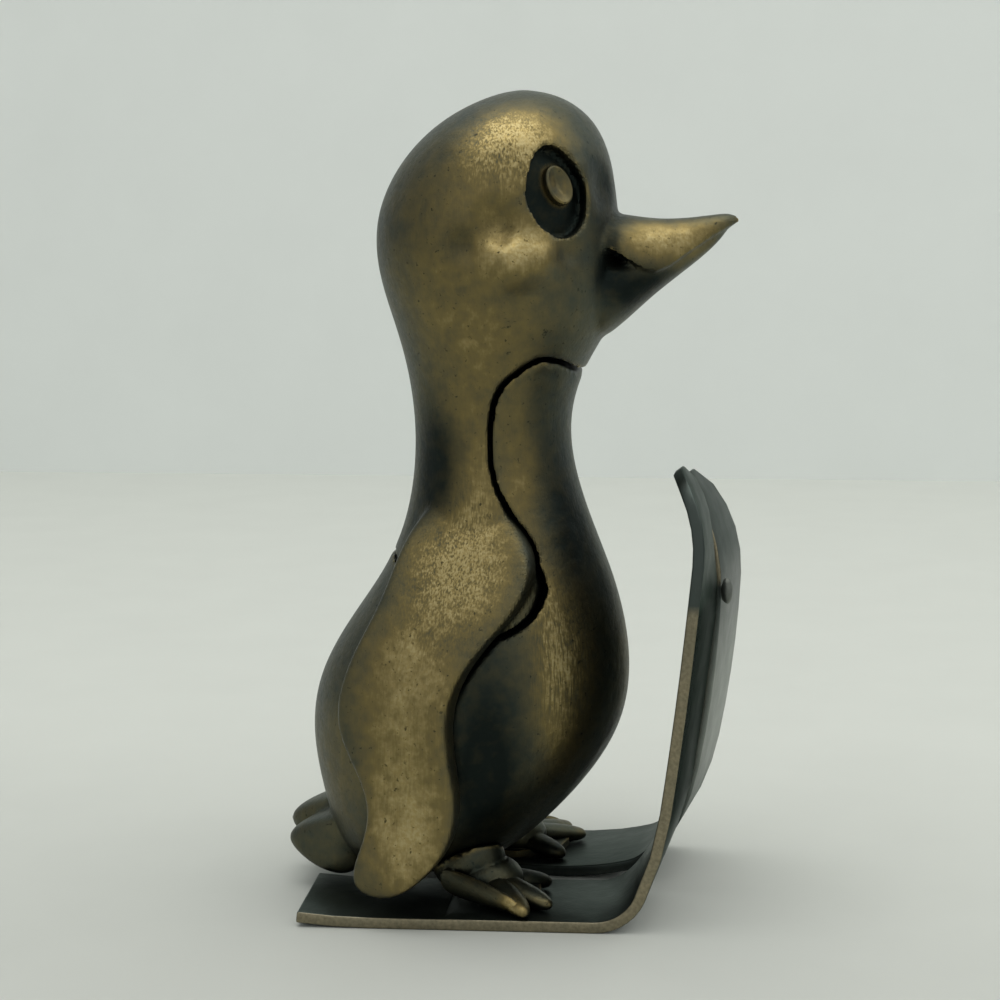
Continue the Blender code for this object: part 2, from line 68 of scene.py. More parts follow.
# The bird's origin is on top of the skis, a little ahead of the stud in its neck
SKI_THICKNESS = 1.25
STUD_SETBACK = 2.4
stud_low, stud_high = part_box("neck_stud")
ORIGIN = Vector(((stud_low.x + stud_high.x) / 2 + STUD_SETBACK * MM, 0.0, SKI_THICKNESS * MM))


def colour(code):
    """A colour written as it shows on a screen, in the renderer's own linear light."""
    parts = [int(code[i:i + 2], 16) / 255 for i in (0, 2, 4)]
    return (*[p / 12.92 if p <= 0.04045 else ((p + 0.055) / 1.055) ** 2.4 for p in parts], 1.0)


def node(tree, kind, inputs=None, **settings):
    """Add a node with its settings. An input gets a value, a link, or a link from a node's first output."""
    made = tree.nodes.new("ShaderNode" + kind)
    for name, value in settings.items():
        setattr(made, name, value)
    for name, value in (inputs or {}).items():
        if isinstance(value, bpy.types.Node):
            value = value.outputs[0]
        if isinstance(value, bpy.types.NodeSocket):
            tree.links.new(value, made.inputs[name])
        else:
            made.inputs[name].default_value = value
    return made


def new_material(name):
    """An empty material: its tree, its shader and its texture coordinates."""
    material = bpy.data.materials.new(name)
    material.use_nodes = True
    tree = material.node_tree
    shader = tree.nodes["Principled BSDF"]
    place = tree.nodes.new("ShaderNodeTexCoord").outputs["Object"]
    return material, tree, shader, place


def finish_mesh(piece):
    """Put the object's place, turn and scale into its mesh, and shade it smooth."""
    bpy.ops.object.select_all(action="DESELECT")
    piece.select_set(True)
    bpy.context.view_layer.objects.active = piece
    bpy.ops.object.transform_apply(location=True, rotation=True, scale=True)
    bpy.ops.object.shade_smooth()


def matt_paint(name, code, grain, painted_front_shade=1.0):
    """Matt paint on a flat board: nearly even, with a faint roller texture. Painted shade can darken it in
    front.
    """
    material, tree, shader, place = new_material(name)
    noise = node(tree, "TexNoise", {"Vector": place, "Scale": 1.0 / (grain * MM), "Detail": 4.0})
    depth = node(tree, "SeparateXYZ", {"Vector": place}).outputs["Y"]
    rolled = node(tree, "MapRange", {0: noise, 1: 0.0, 2: 1.0, 3: 0.97, 4: 1.03})
    near, far = TABLE_PAINTED_SHADE_DEPTHS
    # Painted shade: the table is darker toward the camera, down to the given share in front
    front = node(tree, "MapRange", {0: depth, 1: near, 2: far, 3: painted_front_shade, 4: 1.0})
    tint = node(tree, "Math", {0: rolled, 1: front}, operation="MULTIPLY")
    shade = node(tree, "VectorMath", {0: colour(code)[:3], "Scale": tint}, operation="SCALE")
    tree.links.new(shade.outputs["Vector"], shader.inputs["Base Color"])
    shader.inputs["Roughness"].default_value = 0.8
    return material


bpy.ops.object.select_all(action="DESELECT")
bpy.ops.mesh.primitive_plane_add(size=1.0, location=(0.0, 0.0, 0.0))
table = bpy.context.object
table.name = "table_top"
table.scale = (TABLE_SIZE, TABLE_SIZE, 1.0)
finish_mesh(table)
table.data.materials.append(matt_paint("matt_table", TABLE_COLOUR, TABLE_GRAIN, TABLE_PAINTED_FRONT_SHADE))

bpy.ops.mesh.primitive_plane_add(size=1.0, rotation=(radians(90), 0.0, 0.0),
                                 location=(0.0, BOARD_DISTANCE, BOARD_SIZE[1] / 2))
board = bpy.context.object
board.name = "background_board"
board.scale = (*BOARD_SIZE, 1.0)
finish_mesh(board)
board.data.materials.append(matt_paint("matt_board", BOARD_COLOUR, BOARD_GRAIN))

camera = bpy.data.objects.new("camera", bpy.data.cameras.new("camera"))
bpy.context.scene.collection.objects.link(camera)
camera.data.lens = CAMERA_LENS
camera.data.sensor_width = 36.0
camera.location = Vector((ORIGIN.x, 0.0, 0.0)) + Vector(CAMERA_PLACE) * MM
turn = (Matrix.Rotation(radians(CAMERA_TURN), 3, "Z") @ Matrix.Rotation(radians(CAMERA_TILT), 3, "X")
        @ Matrix.Rotation(radians(CAMERA_ROLL), 3, "Z"))
camera.rotation_euler = turn.to_euler()
bpy.context.scene.camera = camera


def soft_lamp(name, place, size, power):
    """A large square lamp that looks at the figurine."""
    lamp = bpy.data.objects.new(name, bpy.data.lights.new(name, "AREA"))
    bpy.context.scene.collection.objects.link(lamp)
    lamp.data.size = size
    lamp.data.energy = power
    lamp.data.color = colour(LAMP_TONE)[:3]
    lamp.location = place
    lamp.rotation_euler = (LAMP_TARGET - Vector(place)).to_track_quat("-Z", "Y").to_euler()


soft_lamp("lamp_overhead", place=(-0.06, 0.0, 0.80), size=0.62, power=2.1)
soft_lamp("lamp_right", place=(0.52, 0.08, 0.62), size=0.80, power=1.75)
world = bpy.data.worlds.new("room")
bpy.context.scene.world = world
world.use_nodes = True
tree = world.node_tree
direction = node(tree, "TexCoord").outputs["Generated"]
across = node(tree, "SeparateXYZ", {"Vector": direction}).outputs["X"]
across = node(tree, "Math", {0: across}, operation="ABSOLUTE")
across = node(tree, "MapRange", {0: across, 1: ROOM_SIDES[0], 2: ROOM_SIDES[1]})
room = node(tree, "Mix", {0: across, 6: colour(ROOM_BRIGHT), 7: colour(ROOM_DIM)}, data_type="RGBA")
tree.links.new(room.outputs[2], tree.nodes["Background"].inputs["Color"])
bpy.context.scene.view_settings.view_transform = "Standard"

# Head and wings casting.
# One pewter casting: the head with both bills, the back of the neck, the shoulders and the two wings
# that hang free. The open seam is its edge. It was blackened after casting, then rubbed and brushed.
# The gap between pieces, the grain of the joined skin, and how far a cutting block reaches past the bird
CLEARANCE = 0.3
VOXEL = 0.34
BEYOND = 60.0
# Corners of each round section, and how much a section is widened since smoothing draws it in
ROUND = 20
SECTION_SWELL = 1.04
WING_SWELL = 1.03
STUD_RADIUS = 1.5
# Height, rear x, front x, half width
BIRD_RINGS = (
    (88.2, 2.4, 10.4, 4.6), (85.8, -2.8, 14.0, 9.2), (81.3, -7.5, 16.0, 12.6), (75.3, -10.4, 16.6, 13.7),
    (69.3, -10.2, 16.9, 13.6), (63.8, -8.4, 16.4, 12.0), (58.8, -7.0, 12.7, 9.9), (52.8, -6.2, 10.8, 8.7),
    (46.8, -6.4, 11.5, 8.8), (40.8, -7.6, 13.5, 10.2), (35.3, -10.2, 15.7, 12.2), (29.8, -14.4, 17.2, 14.0),
    (23.8, -18.0, 17.8, 15.1), (17.8, -19.0, 16.7, 15.3), (12.3, -18.2, 13.2, 14.7), (7.3, -17.0, 8.6, 13.0),
    (3.3, -15.8, 4.0, 10.4), (1.1, -12.0, -1.0, 5.6))
BIRD_TOP = (6.2, 0.0, 89.0)
BIRD_BOTTOM = (-7.0, 0.0, 0.8)
# Seam seen from the side, with how wide it is open
SEAM = (
    (12.9, 57.4, 0.5), (11.4, 59.3, 0.5), (9.2, 59.9, 0.45), (7.0, 58.7, 0.45), (4.5, 56.2, 0.5),
    (3.6, 51.8, 0.4), (4.0, 46.8, 0.4), (6.5, 41.7, 0.7), (9.0, 36.7, 0.8), (9.3, 34.4, 0.9),
    (7.6, 31.6, 0.6), (3.0, 30.2, 0.5), (-3.0, 33.4, 0.44), (-8.9, 38.1, 0.44))
# Height, rear x, front x, rear y, front y, half thickness, and how far its corners are rounded
WING_RINGS = (
    (44.8, -2.6, 4.0, 5.6, 6.6, 1.6, 0.95), (40.8, -5.6, 7.6, 7.8, 9.2, 2.1, 0.95),
    (36.8, -6.8, 9.0, 9.7, 11.3, 2.3, 0.95), (32.8, -8.2, 6.8, 11.6, 13.7, 2.2, 0.9),
    (28.8, -10.4, 2.9, 12.6, 15.4, 2.0, 0.8), (24.8, -11.9, 0.5, 13.1, 16.7, 1.8, 0.75),
    (20.8, -12.6, 0.0, 13.5, 17.3, 1.6, 0.7), (16.8, -10.8, 0.6, 14.4, 17.6, 1.5, 0.7),
    (12.8, -8.6, 1.3, 15.4, 17.6, 1.5, 0.7), (8.8, -9.0, 0.6, 16.1, 17.7, 1.4, 0.7),
    (5.4, -10.6, -1.8, 16.7, 18.0, 1.3, 0.7), (3.1, -10.5, -4.6, 17.1, 18.2, 1.0, 0.7))
WING_TOP = (0.6, 6.0, 47.3)
WING_TIP = (-7.7, 17.6, 1.7)
# Upper bill: x, height of its lip, half width, height above the lip
UPPER_BILL = ((12.0, 71.6, 6.2, 4.6), (15.5, 71.2, 5.7, 4.2), (18.6, 70.2, 5.0, 4.7), (21.4, 69.1, 4.3, 5.4),
              (24.8, 71.2, 3.05, 3.5), (27.6, 73.0, 1.9, 2.1), (29.0, 73.9, 1.15, 1.35))
UPPER_BILL_ENDS = ((8.0, 0.0, 72.6), (30.2, 0.0, 74.6))
LIP = ((8.0, 72.6), (15.0, 72.2), (17.1, 71.2), (18.6, 70.2), (19.9, 69.4), (21.3, 69.1), (22.6, 69.6),
       (25.0, 71.3), (27.6, 73.0), (29.6, 74.1), (34.0, 76.5))
# Lower bill: x, middle height, half width, half height
LOWER_BILL = ((13.5, 65.6, 6.2, 5.0), (17.2, 67.3, 5.0, 3.9), (20.2, 68.7, 3.8, 2.5), (23.3, 70.1, 2.5, 1.55),
              (26.2, 71.9, 1.5, 1.15), (28.0, 73.2, 0.85, 0.75))
LOWER_BILL_ENDS = ((9.5, 0.0, 65.6), (29.0, 0.0, 74.0))
# Eye: where it looks, the half sizes of its hollow, and how deep that is
EYE_CENTRE = (3.2, 0.0, 75.8)
EYE_REACH = 13.6
EYE_TURN = 49.5
EYE_RISE = 9.0
SOCKET_SIZE = (3.8, 4.95, 4.0)
SOCKET_DEPTH = 1.7
SOCKET_LEAN = 10.0
# Shares of its half height above which the hollow narrows, and to how much each time
EGG_LEVELS = (0.1, 0.35, 0.6, 0.8)
EGG_TAPER = 0.94
# How the cheek, the hollow over it, the crease behind it and the dips toward the bill were worked into the
# clay: place, how far and how wide
CLAY_MOVES = (
    ((7.6, 12.8, 70.0), (0.2, 1.5, -0.3), 4.2), ((5.6, 13.3, 74.8), (0.0, -1.7, 0.0), 3.6),
    ((10.4, 11.4, 70.8), (0.3, 0.8, 0.0), 3.6), ((2.4, 13.6, 72.6), (0.0, -0.8, 0.0), 2.4),
    ((12.4, 10.0, 71.4), (-0.2, -0.6, 0.0), 2.6), ((15.8, 4.6, 78.0), (-0.4, -0.5, 0.0), 3.6))


def at(x, y, z):
    """A place on the bird, given in millimetres from its origin, in the frame's metres."""
    return ORIGIN + Vector((x, y, z)) * MM


def pick(kind, test):
    """Select only the vertices, edges or faces of the mesh being edited that pass a test."""
    bpy.ops.mesh.select_mode(type=kind)
    bpy.ops.mesh.select_all(action="DESELECT")
    mesh = bpy.context.edit_object.data
    form = bmesh.from_edit_mesh(mesh)
    parts = {"VERT": form.verts, "EDGE": form.edges, "FACE": form.faces}[kind]
    for part in parts:
        part.select_set(test(part))
    form.select_flush_mode()
    bmesh.update_edit_mesh(mesh)


def add_ring(ring, upright, first):
    """One oval, or one slab section with rounded corners, as a loop of edges."""
    centre, half_sizes, turned, rounding = ring
    place = at(*centre)
    facing = (0.0, radians(90), 0.0) if upright else (0.0, 0.0, 0.0)
    if rounding is None:
        bpy.ops.mesh.primitive_circle_add(vertices=ROUND, radius=MM, location=place, rotation=facing)
    else:
        bpy.ops.mesh.primitive_plane_add(size=2 * MM, location=place, rotation=facing)
    if first:
        bpy.ops.object.transform_apply(location=True, rotation=True, scale=True)
        bpy.ops.object.mode_set(mode="EDIT")
        bpy.ops.mesh.select_all(action="SELECT")
    bpy.ops.transform.resize(value=half_sizes, center_override=place)
    if rounding is not None:
        bpy.ops.mesh.bevel(offset=rounding * MM, segments=2, affect="VERTICES")
    if turned:
        bpy.ops.transform.rotate(value=-turned, orient_axis="Z", center_override=place)
    if rounding is not None:
        bpy.ops.mesh.delete(type="ONLY_FACE")


def loft(name, rings, ends, upright=False):
    """A closed smooth form lofted through rings, and drawn together to a point at each end."""
    bpy.ops.object.select_all(action="DESELECT")
    for number, ring in enumerate(rings):
        add_ring(ring, upright, number == 0)
    piece = bpy.context.edit_object
    piece.name = name
    bpy.ops.mesh.select_mode(type="EDGE")
    bpy.ops.mesh.select_all(action="SELECT")
    bpy.ops.mesh.bridge_edge_loops()
    middles = [at(*rings[0][0]), at(*rings[-1][0])]
    for here, there, end in ((middles[0], middles[1], ends[0]), (middles[1], middles[0], ends[1])):
        pick("VERT", lambda v: v.is_boundary and (v.co - here).length < (v.co - there).length)
        bpy.ops.mesh.extrude_region_move()
        bpy.ops.mesh.merge(type="CENTER")
        tip = next(v.co.copy() for v in bmesh.from_edit_mesh(piece.data).verts if v.select)
        bpy.ops.transform.translate(value=at(*end) - tip)
    bpy.ops.mesh.select_all(action="SELECT")
    bpy.ops.mesh.normals_make_consistent(inside=False)
    bpy.ops.object.mode_set(mode="OBJECT")
    add_modifier(piece, "SUBSURF", levels=3, render_levels=3)
    bpy.ops.object.shade_smooth()
    return piece


def add_modifier(piece, kind, **settings):
    """Add a modifier and apply it at once."""
    modifier = piece.modifiers.new(kind.title(), kind)
    for name, value in settings.items():
        setattr(modifier, name, value)
    bpy.context.view_layer.objects.active = piece
    bpy.ops.object.modifier_apply(modifier=modifier.name)


def combine(piece, other, operation, keep=False):
    """Join with, cut by, or keep only what lies in, another closed form, which is then removed."""
    add_modifier(piece, "BOOLEAN", operation=operation, solver="EXACT", object=other)
    if not keep:
        bpy.data.objects.remove(other)


def duplicate(piece, name):
    """A copy with its own mesh."""
    copy = piece.copy()
    copy.data = piece.data.copy()
    copy.name = name
    bpy.context.scene.collection.objects.link(copy)
    return copy


def smooth_line(points):
    """A smooth curve through a few points, with four steps from each to the next."""
    line = []
    last = len(points) - 1
    for i in range(last):
        a, b, c, d = (Vector(points[min(max(i + k, 0), last)]) for k in (-1, 0, 1, 2))
        for t in (0.0, 0.25, 0.5, 0.75):
            bend = (2 * a - 5 * b + 4 * c - d) * t + (3 * b - a - 3 * c + d) * t * t
            line.append(b + t / 2 * (c - a + bend))
    return line + [Vector(points[last])]


def drawn_block(name, corners, depth):
    """A block drawn corner by corner, and then drawn out by its depth."""
    bpy.ops.object.select_all(action="DESELECT")
    bpy.ops.mesh.primitive_plane_add(size=MM)
    block = bpy.context.object
    block.name = name
    bpy.ops.object.mode_set(mode="EDIT")
    bpy.ops.mesh.select_all(action="SELECT")
    bpy.ops.mesh.merge(type="CENTER")
    here = Vector((0.0, 0.0, 0.0))
    for number, there in enumerate(corners):
        if number:
            bpy.ops.mesh.extrude_region_move(TRANSFORM_OT_translate={"value": there - here})
        else:
            bpy.ops.transform.translate(value=there - here)
        here = there
    bpy.ops.mesh.select_all(action="SELECT")
    bpy.ops.mesh.edge_face_add()
    bpy.ops.mesh.extrude_region_move(TRANSFORM_OT_translate={"value": depth})
    bpy.ops.mesh.select_all(action="SELECT")
    bpy.ops.mesh.normals_make_consistent(inside=False)
    bpy.ops.object.mode_set(mode="OBJECT")
    return block


def side_block(name, outline):
    """A block with its outline in the side view, wider than the bird."""
    return drawn_block(name, [at(x, -BEYOND, z) for x, z in outline], (0.0, 2 * BEYOND * MM, 0.0))


def seam_block(share):
    """All that lies behind and above the seam, moved off its middle by a share of its width."""
    line = smooth_line(SEAM)
    outline = [(BEYOND, line[0].y)]
    for i, point in enumerate(line):
        along = (line[min(i + 1, len(line) - 1)] - line[max(i - 1, 0)]).xy.normalized()
        outline.append(tuple(point.xy + point.z * share * Vector((-along.y, along.x))))
    outline += [(-BEYOND, outline[-1][1]), (-BEYOND, 2 * BEYOND), (BEYOND, 2 * BEYOND)]
    return side_block("seam_block", outline)


def bird_loft(name):
    """The whole bird without wings, bills and tail. Its rings are widened by what smoothing draws in."""
    swell = 6.0 / (4.0 + 2.0 * cos(2.0 * pi / ROUND))
    rings = [(((rear + front) / 2, 0.0, z), ((front - rear) / 2 * swell, half * swell, 1.0), 0.0, None)
             for z, rear, front, half in BIRD_RINGS]
    return loft(name, rings, (BIRD_TOP, BIRD_BOTTOM))


def wing_loft(name, side):
    """One hanging wing: a thick leaf with a broad flat face and rounded edges."""
    rings = []
    for z, rear_x, front_x, rear_y, front_y, thick, rounding in WING_RINGS:
        across = Vector((front_x - rear_x, (front_y - rear_y) * side))
        centre = ((rear_x + front_x) / 2, (rear_y + front_y) / 2 * side, z)
        half_sizes = (across.length / 2 * WING_SWELL, thick, 1.0)
        rings.append((centre, half_sizes, atan2(across.y, across.x), rounding))
    ends = [(x, y * side, z) for x, y, z in (WING_TOP, WING_TIP)]
    return loft(name, rings, ends)


def bill_loft(name, rings, ends):
    """One half of the bill."""
    shapes = [((x, 0.0, z), (1.0, wide * SECTION_SWELL, high * SECTION_SWELL), 0.0, None)
              for x, z, wide, high in rings]
    return loft(name, shapes, ends, upright=True)


def bore(piece, name, low, high, wide, narrow=None):
    """Bore a round hole in line with a fixing, between two heights, straight or narrowing upward."""
    middle = sum(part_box(name), Vector()) / 2
    bpy.ops.object.select_all(action="DESELECT")
    bpy.ops.mesh.primitive_cone_add(vertices=40, radius1=wide * MM, radius2=(narrow or wide) * MM,
                                    depth=(high - low) * MM,
                                    location=(middle.x, middle.y, (low + high) / 2 * MM))
    combine(piece, bpy.context.object, "DIFFERENCE")


def push(piece, moves):
    """Work the surface as clay on both sides: each move is a place, how far it goes and the tool's width."""
    bpy.ops.object.select_all(action="DESELECT")
    piece.select_set(True)
    bpy.context.view_layer.objects.active = piece
    bpy.ops.object.mode_set(mode="EDIT")
    for place, way, reach in moves:
        for side in (1, -1):
            target = at(place[0], place[1] * side, place[2])
            form = bmesh.from_edit_mesh(piece.data)
            nearest = min(form.verts, key=lambda v: (v.co - target).length_squared).index
            pick("VERT", lambda v: v.index == nearest)
            bpy.ops.transform.translate(value=Vector((way[0], way[1] * side, way[2])) * MM,
                                        use_proportional_edit=True, proportional_edit_falloff="SMOOTH",
                                        proportional_size=reach * MM)
    bpy.ops.object.mode_set(mode="OBJECT")


def eye_part(side, turn_out, rise, depth):
    """The place of an eye's part and the way it looks."""
    turn, rise = radians(turn_out * side), radians(rise)
    out = Matrix.Rotation(turn, 3, "Z") @ Matrix.Rotation(-rise, 3, "Y") @ Vector((1.0, 0.0, 0.0))
    return Vector(EYE_CENTRE) + out * (EYE_REACH - depth), out


def look_out(piece, facing, lean):
    """Turn a piece so that its own z looks along a direction and its y up, leaning by some degrees."""
    look = facing.to_track_quat("Z", "Y").to_matrix().to_4x4() @ Matrix.Rotation(radians(lean), 4, "Z")
    piece.rotation_euler = look.to_euler()


def ball(name, centre, size):
    """A stretched ball, turned half round. The joins in the feet come out differently without the turn."""
    bpy.ops.object.select_all(action="DESELECT")
    bpy.ops.mesh.primitive_uv_sphere_add(segments=40, ring_count=24, radius=MM, location=at(*centre))
    piece = bpy.context.object
    piece.name = name
    piece.scale = size
    look_out(piece, Vector((0.0, 0.0, 1.0)), 0.0)
    finish_mesh(piece)
    return piece


def cast_surface(piece):
    """Melt the joined forms into one even skin, as in a mould."""
    add_modifier(piece, "REMESH", mode="VOXEL", voxel_size=VOXEL * MM)
    add_modifier(piece, "SMOOTH", factor=0.5, iterations=6)
    bpy.ops.object.shade_smooth()


def egg_cutter(name, centre, size, facing, lean):
    """An upright egg drawn through along a direction, narrower at its top."""
    bpy.ops.object.select_all(action="DESELECT")
    bpy.ops.mesh.primitive_cylinder_add(vertices=64, radius=MM, depth=2 * MM, location=at(*centre))
    piece = bpy.context.object
    piece.name = name
    bpy.ops.object.mode_set(mode="EDIT")
    for level in EGG_LEVELS:
        pick("VERT", lambda v: v.co.y > level * MM)
        bpy.ops.transform.resize(value=(EGG_TAPER, 1.0, 1.0), center_override=at(*centre))
    bpy.ops.object.mode_set(mode="OBJECT")
    piece.scale = size
    look_out(piece, facing, lean)
    finish_mesh(piece)
    return piece


coat = bird_loft("coat")
push(coat, CLAY_MOVES)
head_core = duplicate(coat, "head_core")
add_modifier(head_core, "DISPLACE", strength=-SOCKET_DEPTH * MM, mid_level=0.0)
combine(coat, seam_block(-0.5), "INTERSECT")
wings = [wing_loft("left_wing", 1), wing_loft("right_wing", -1)]
for side, wing in zip((1, -1), wings):
    combine(coat, wing, "UNION", keep=True)
    place, out = eye_part(side, EYE_TURN, EYE_RISE, 0.0)
    socket = egg_cutter("eye_hollow", place, SOCKET_SIZE, out, -SOCKET_LEAN * side)
    combine(socket, head_core, "DIFFERENCE", keep=True)
    combine(coat, socket, "DIFFERENCE")
bpy.data.objects.remove(head_core)
combine(coat, bill_loft("lower_bill", LOWER_BILL, LOWER_BILL_ENDS), "UNION")
upper_bill = bill_loft("upper_bill", UPPER_BILL, UPPER_BILL_ENDS)
combine(upper_bill, side_block("mouth_block", ((40.0, 20.0), (6.0, 20.0)) + LIP), "DIFFERENCE")
combine(coat, upper_bill, "UNION")
STUD_HOLE = (stud_low.z / MM - CLEARANCE, stud_high.z / MM + CLEARANCE, STUD_RADIUS + CLEARANCE)
bore(coat, "neck_stud", *STUD_HOLE)
cast_surface(coat)


def spot(tree, mirrored, centre, size):
    """1 in the middle of a soft oval patch on both sides of the bird, 0 outside it. Sizes are half widths."""
    scale = [1.0 / (part * MM) for part in size]
    moved = node(tree, "Mapping", {"Vector": mirrored, "Scale": scale,
                                   "Location": [-m * s for m, s in zip(at(*centre), scale)]})
    length = node(tree, "VectorMath", {0: moved}, operation="LENGTH").outputs["Value"]
    return node(tree, "MapRange", {0: length, 1: 1.0, 2: 0.0}, interpolation_type="SMOOTHSTEP")


# Where hands and cloth have rubbed the black off the coat, and on the head top and cheek also painted
# highlight: centre, half sizes and how far
COAT_RUBBED_AND_HIGHLIGHTS = (
    ((7.4, 10.5, 84.0), (8.4, 9.0, 7.5), 1.0), ((5.0, 12.5, 78.0), (7.0, 9.0, 9.0), 0.4),
    ((8.2, 12.6, 72.0), (6.8, 7.0, 4.6), 1.0), ((2.0, 12.0, 70.0), (15.0, 12.0, 20.0), 0.45),
    ((3.0, 9.5, 58.0), (10.0, 8.0, 16.0), 0.35), ((1.5, 9.5, 47.0), (6.0, 7.0, 15.0), 0.5),
    ((1.0, 12.0, 38.0), (10.0, 10.0, 14.0), 0.9), ((-3.6, 16.0, 24.0), (10.5, 8.0, 17.0), 0.85),
    ((-4.5, 17.8, 10.0), (9.0, 7.0, 14.0), 0.9), ((22.0, 3.5, 72.8), (10.0, 5.0, 4.6), 0.95))
# Where it stayed deep black, darkened further as painted shade: in the crease behind the cheek, at the back
# of the neck, under the upper bill, in the gape, on the face between eye and bill, and round the bill's root
COAT_BLACK_AND_SHADE = (
    ((1.6, 13.5, 72.8), (3.4, 4.0, 4.0), 0.45), ((-3.2, 7.4, 48.0), (6.4, 6.5, 12.0), 0.9),
    ((20.0, 3.6, 67.0), (9.0, 6.0, 4.6), 1.0), ((16.5, 4.0, 68.6), (3.6, 6.0, 3.6), 1.0),
    ((16.6, 4.0, 77.5), (4.6, 8.0, 8.0), 0.85), ((16.6, 4.4, 72.0), (1.5, 5.0, 5.5), 0.85))
# Where the cloth left its scratches: centre and half sizes
SCRATCHED = (((0.0, 12.0, 36.0), (11.0, 9.0, 17.0)), ((5.6, 10.5, 83.0), (9.0, 9.0, 8.0)),
             ((11.4, 10.5, 28.0), (5.6, 9.0, 14.0)))
GENERAL_WEAR = 0.16
# Sizes in the skin, in millimetres: broad cloudiness, mottling, grain of the cast metal, casting pits, and a
# cloth scratch's width and length. Real grain and scratches are finer, and are drawn wide enough to show.
CLOUD_WIDTH = 4.167
MOTTLE_WIDTH = 1.25
GRAIN_WIDTH = 0.3846
PIT_WIDTH = 0.6667
SCRATCH_WIDTH, SCRATCH_LENGTH = 0.1923, 2.381
SCRATCH_SLANT = 24.0
# How far the wear round an edge and the dirt in a hollow reach
EDGE_REACH = 0.7
HOLLOW_REACH = 2.5
# Depths under the head at which an eye hollow starts to be black and is fully black, and where that holds:
# centre and half sizes of the patch round the eye
SOCKET_BLACK = (0.7, 1.1)
EYE_PATCH = ((11.6, 9.4, 78.2), (6.5, 6.5, 8.5))


def kept_black_and_shade(tree, mirrored, black_and_shade_spots):
    """Where the black was never rubbed, and where painted shade falls: 0 in the black and shade patches and
    eye hollows, 1 elsewhere.
    """
    deep = node(tree, "VectorMath", {0: mirrored, 1: at(*EYE_CENTRE)}, operation="DISTANCE").outputs["Value"]
    starts, full = ((EYE_REACH - depth) * MM for depth in SOCKET_BLACK)
    deep = node(tree, "MapRange", {0: deep, 1: starts, 2: full})
    near_eye = node(tree, "MapRange", {0: spot(tree, mirrored, *EYE_PATCH), 2: 0.2})
    socket = node(tree, "Math", {0: deep, 1: near_eye}, operation="MULTIPLY")
    kept = node(tree, "MapRange", {0: socket, 3: 1.0, 4: 0.05})
    for centre, size, share in black_and_shade_spots:
        left = node(tree, "MapRange", {0: spot(tree, mirrored, centre, size), 2: 0.8, 3: 1.0, 4: 1.0 - share})
        kept = node(tree, "Math", {0: kept, 1: left}, operation="MULTIPLY")
    return kept


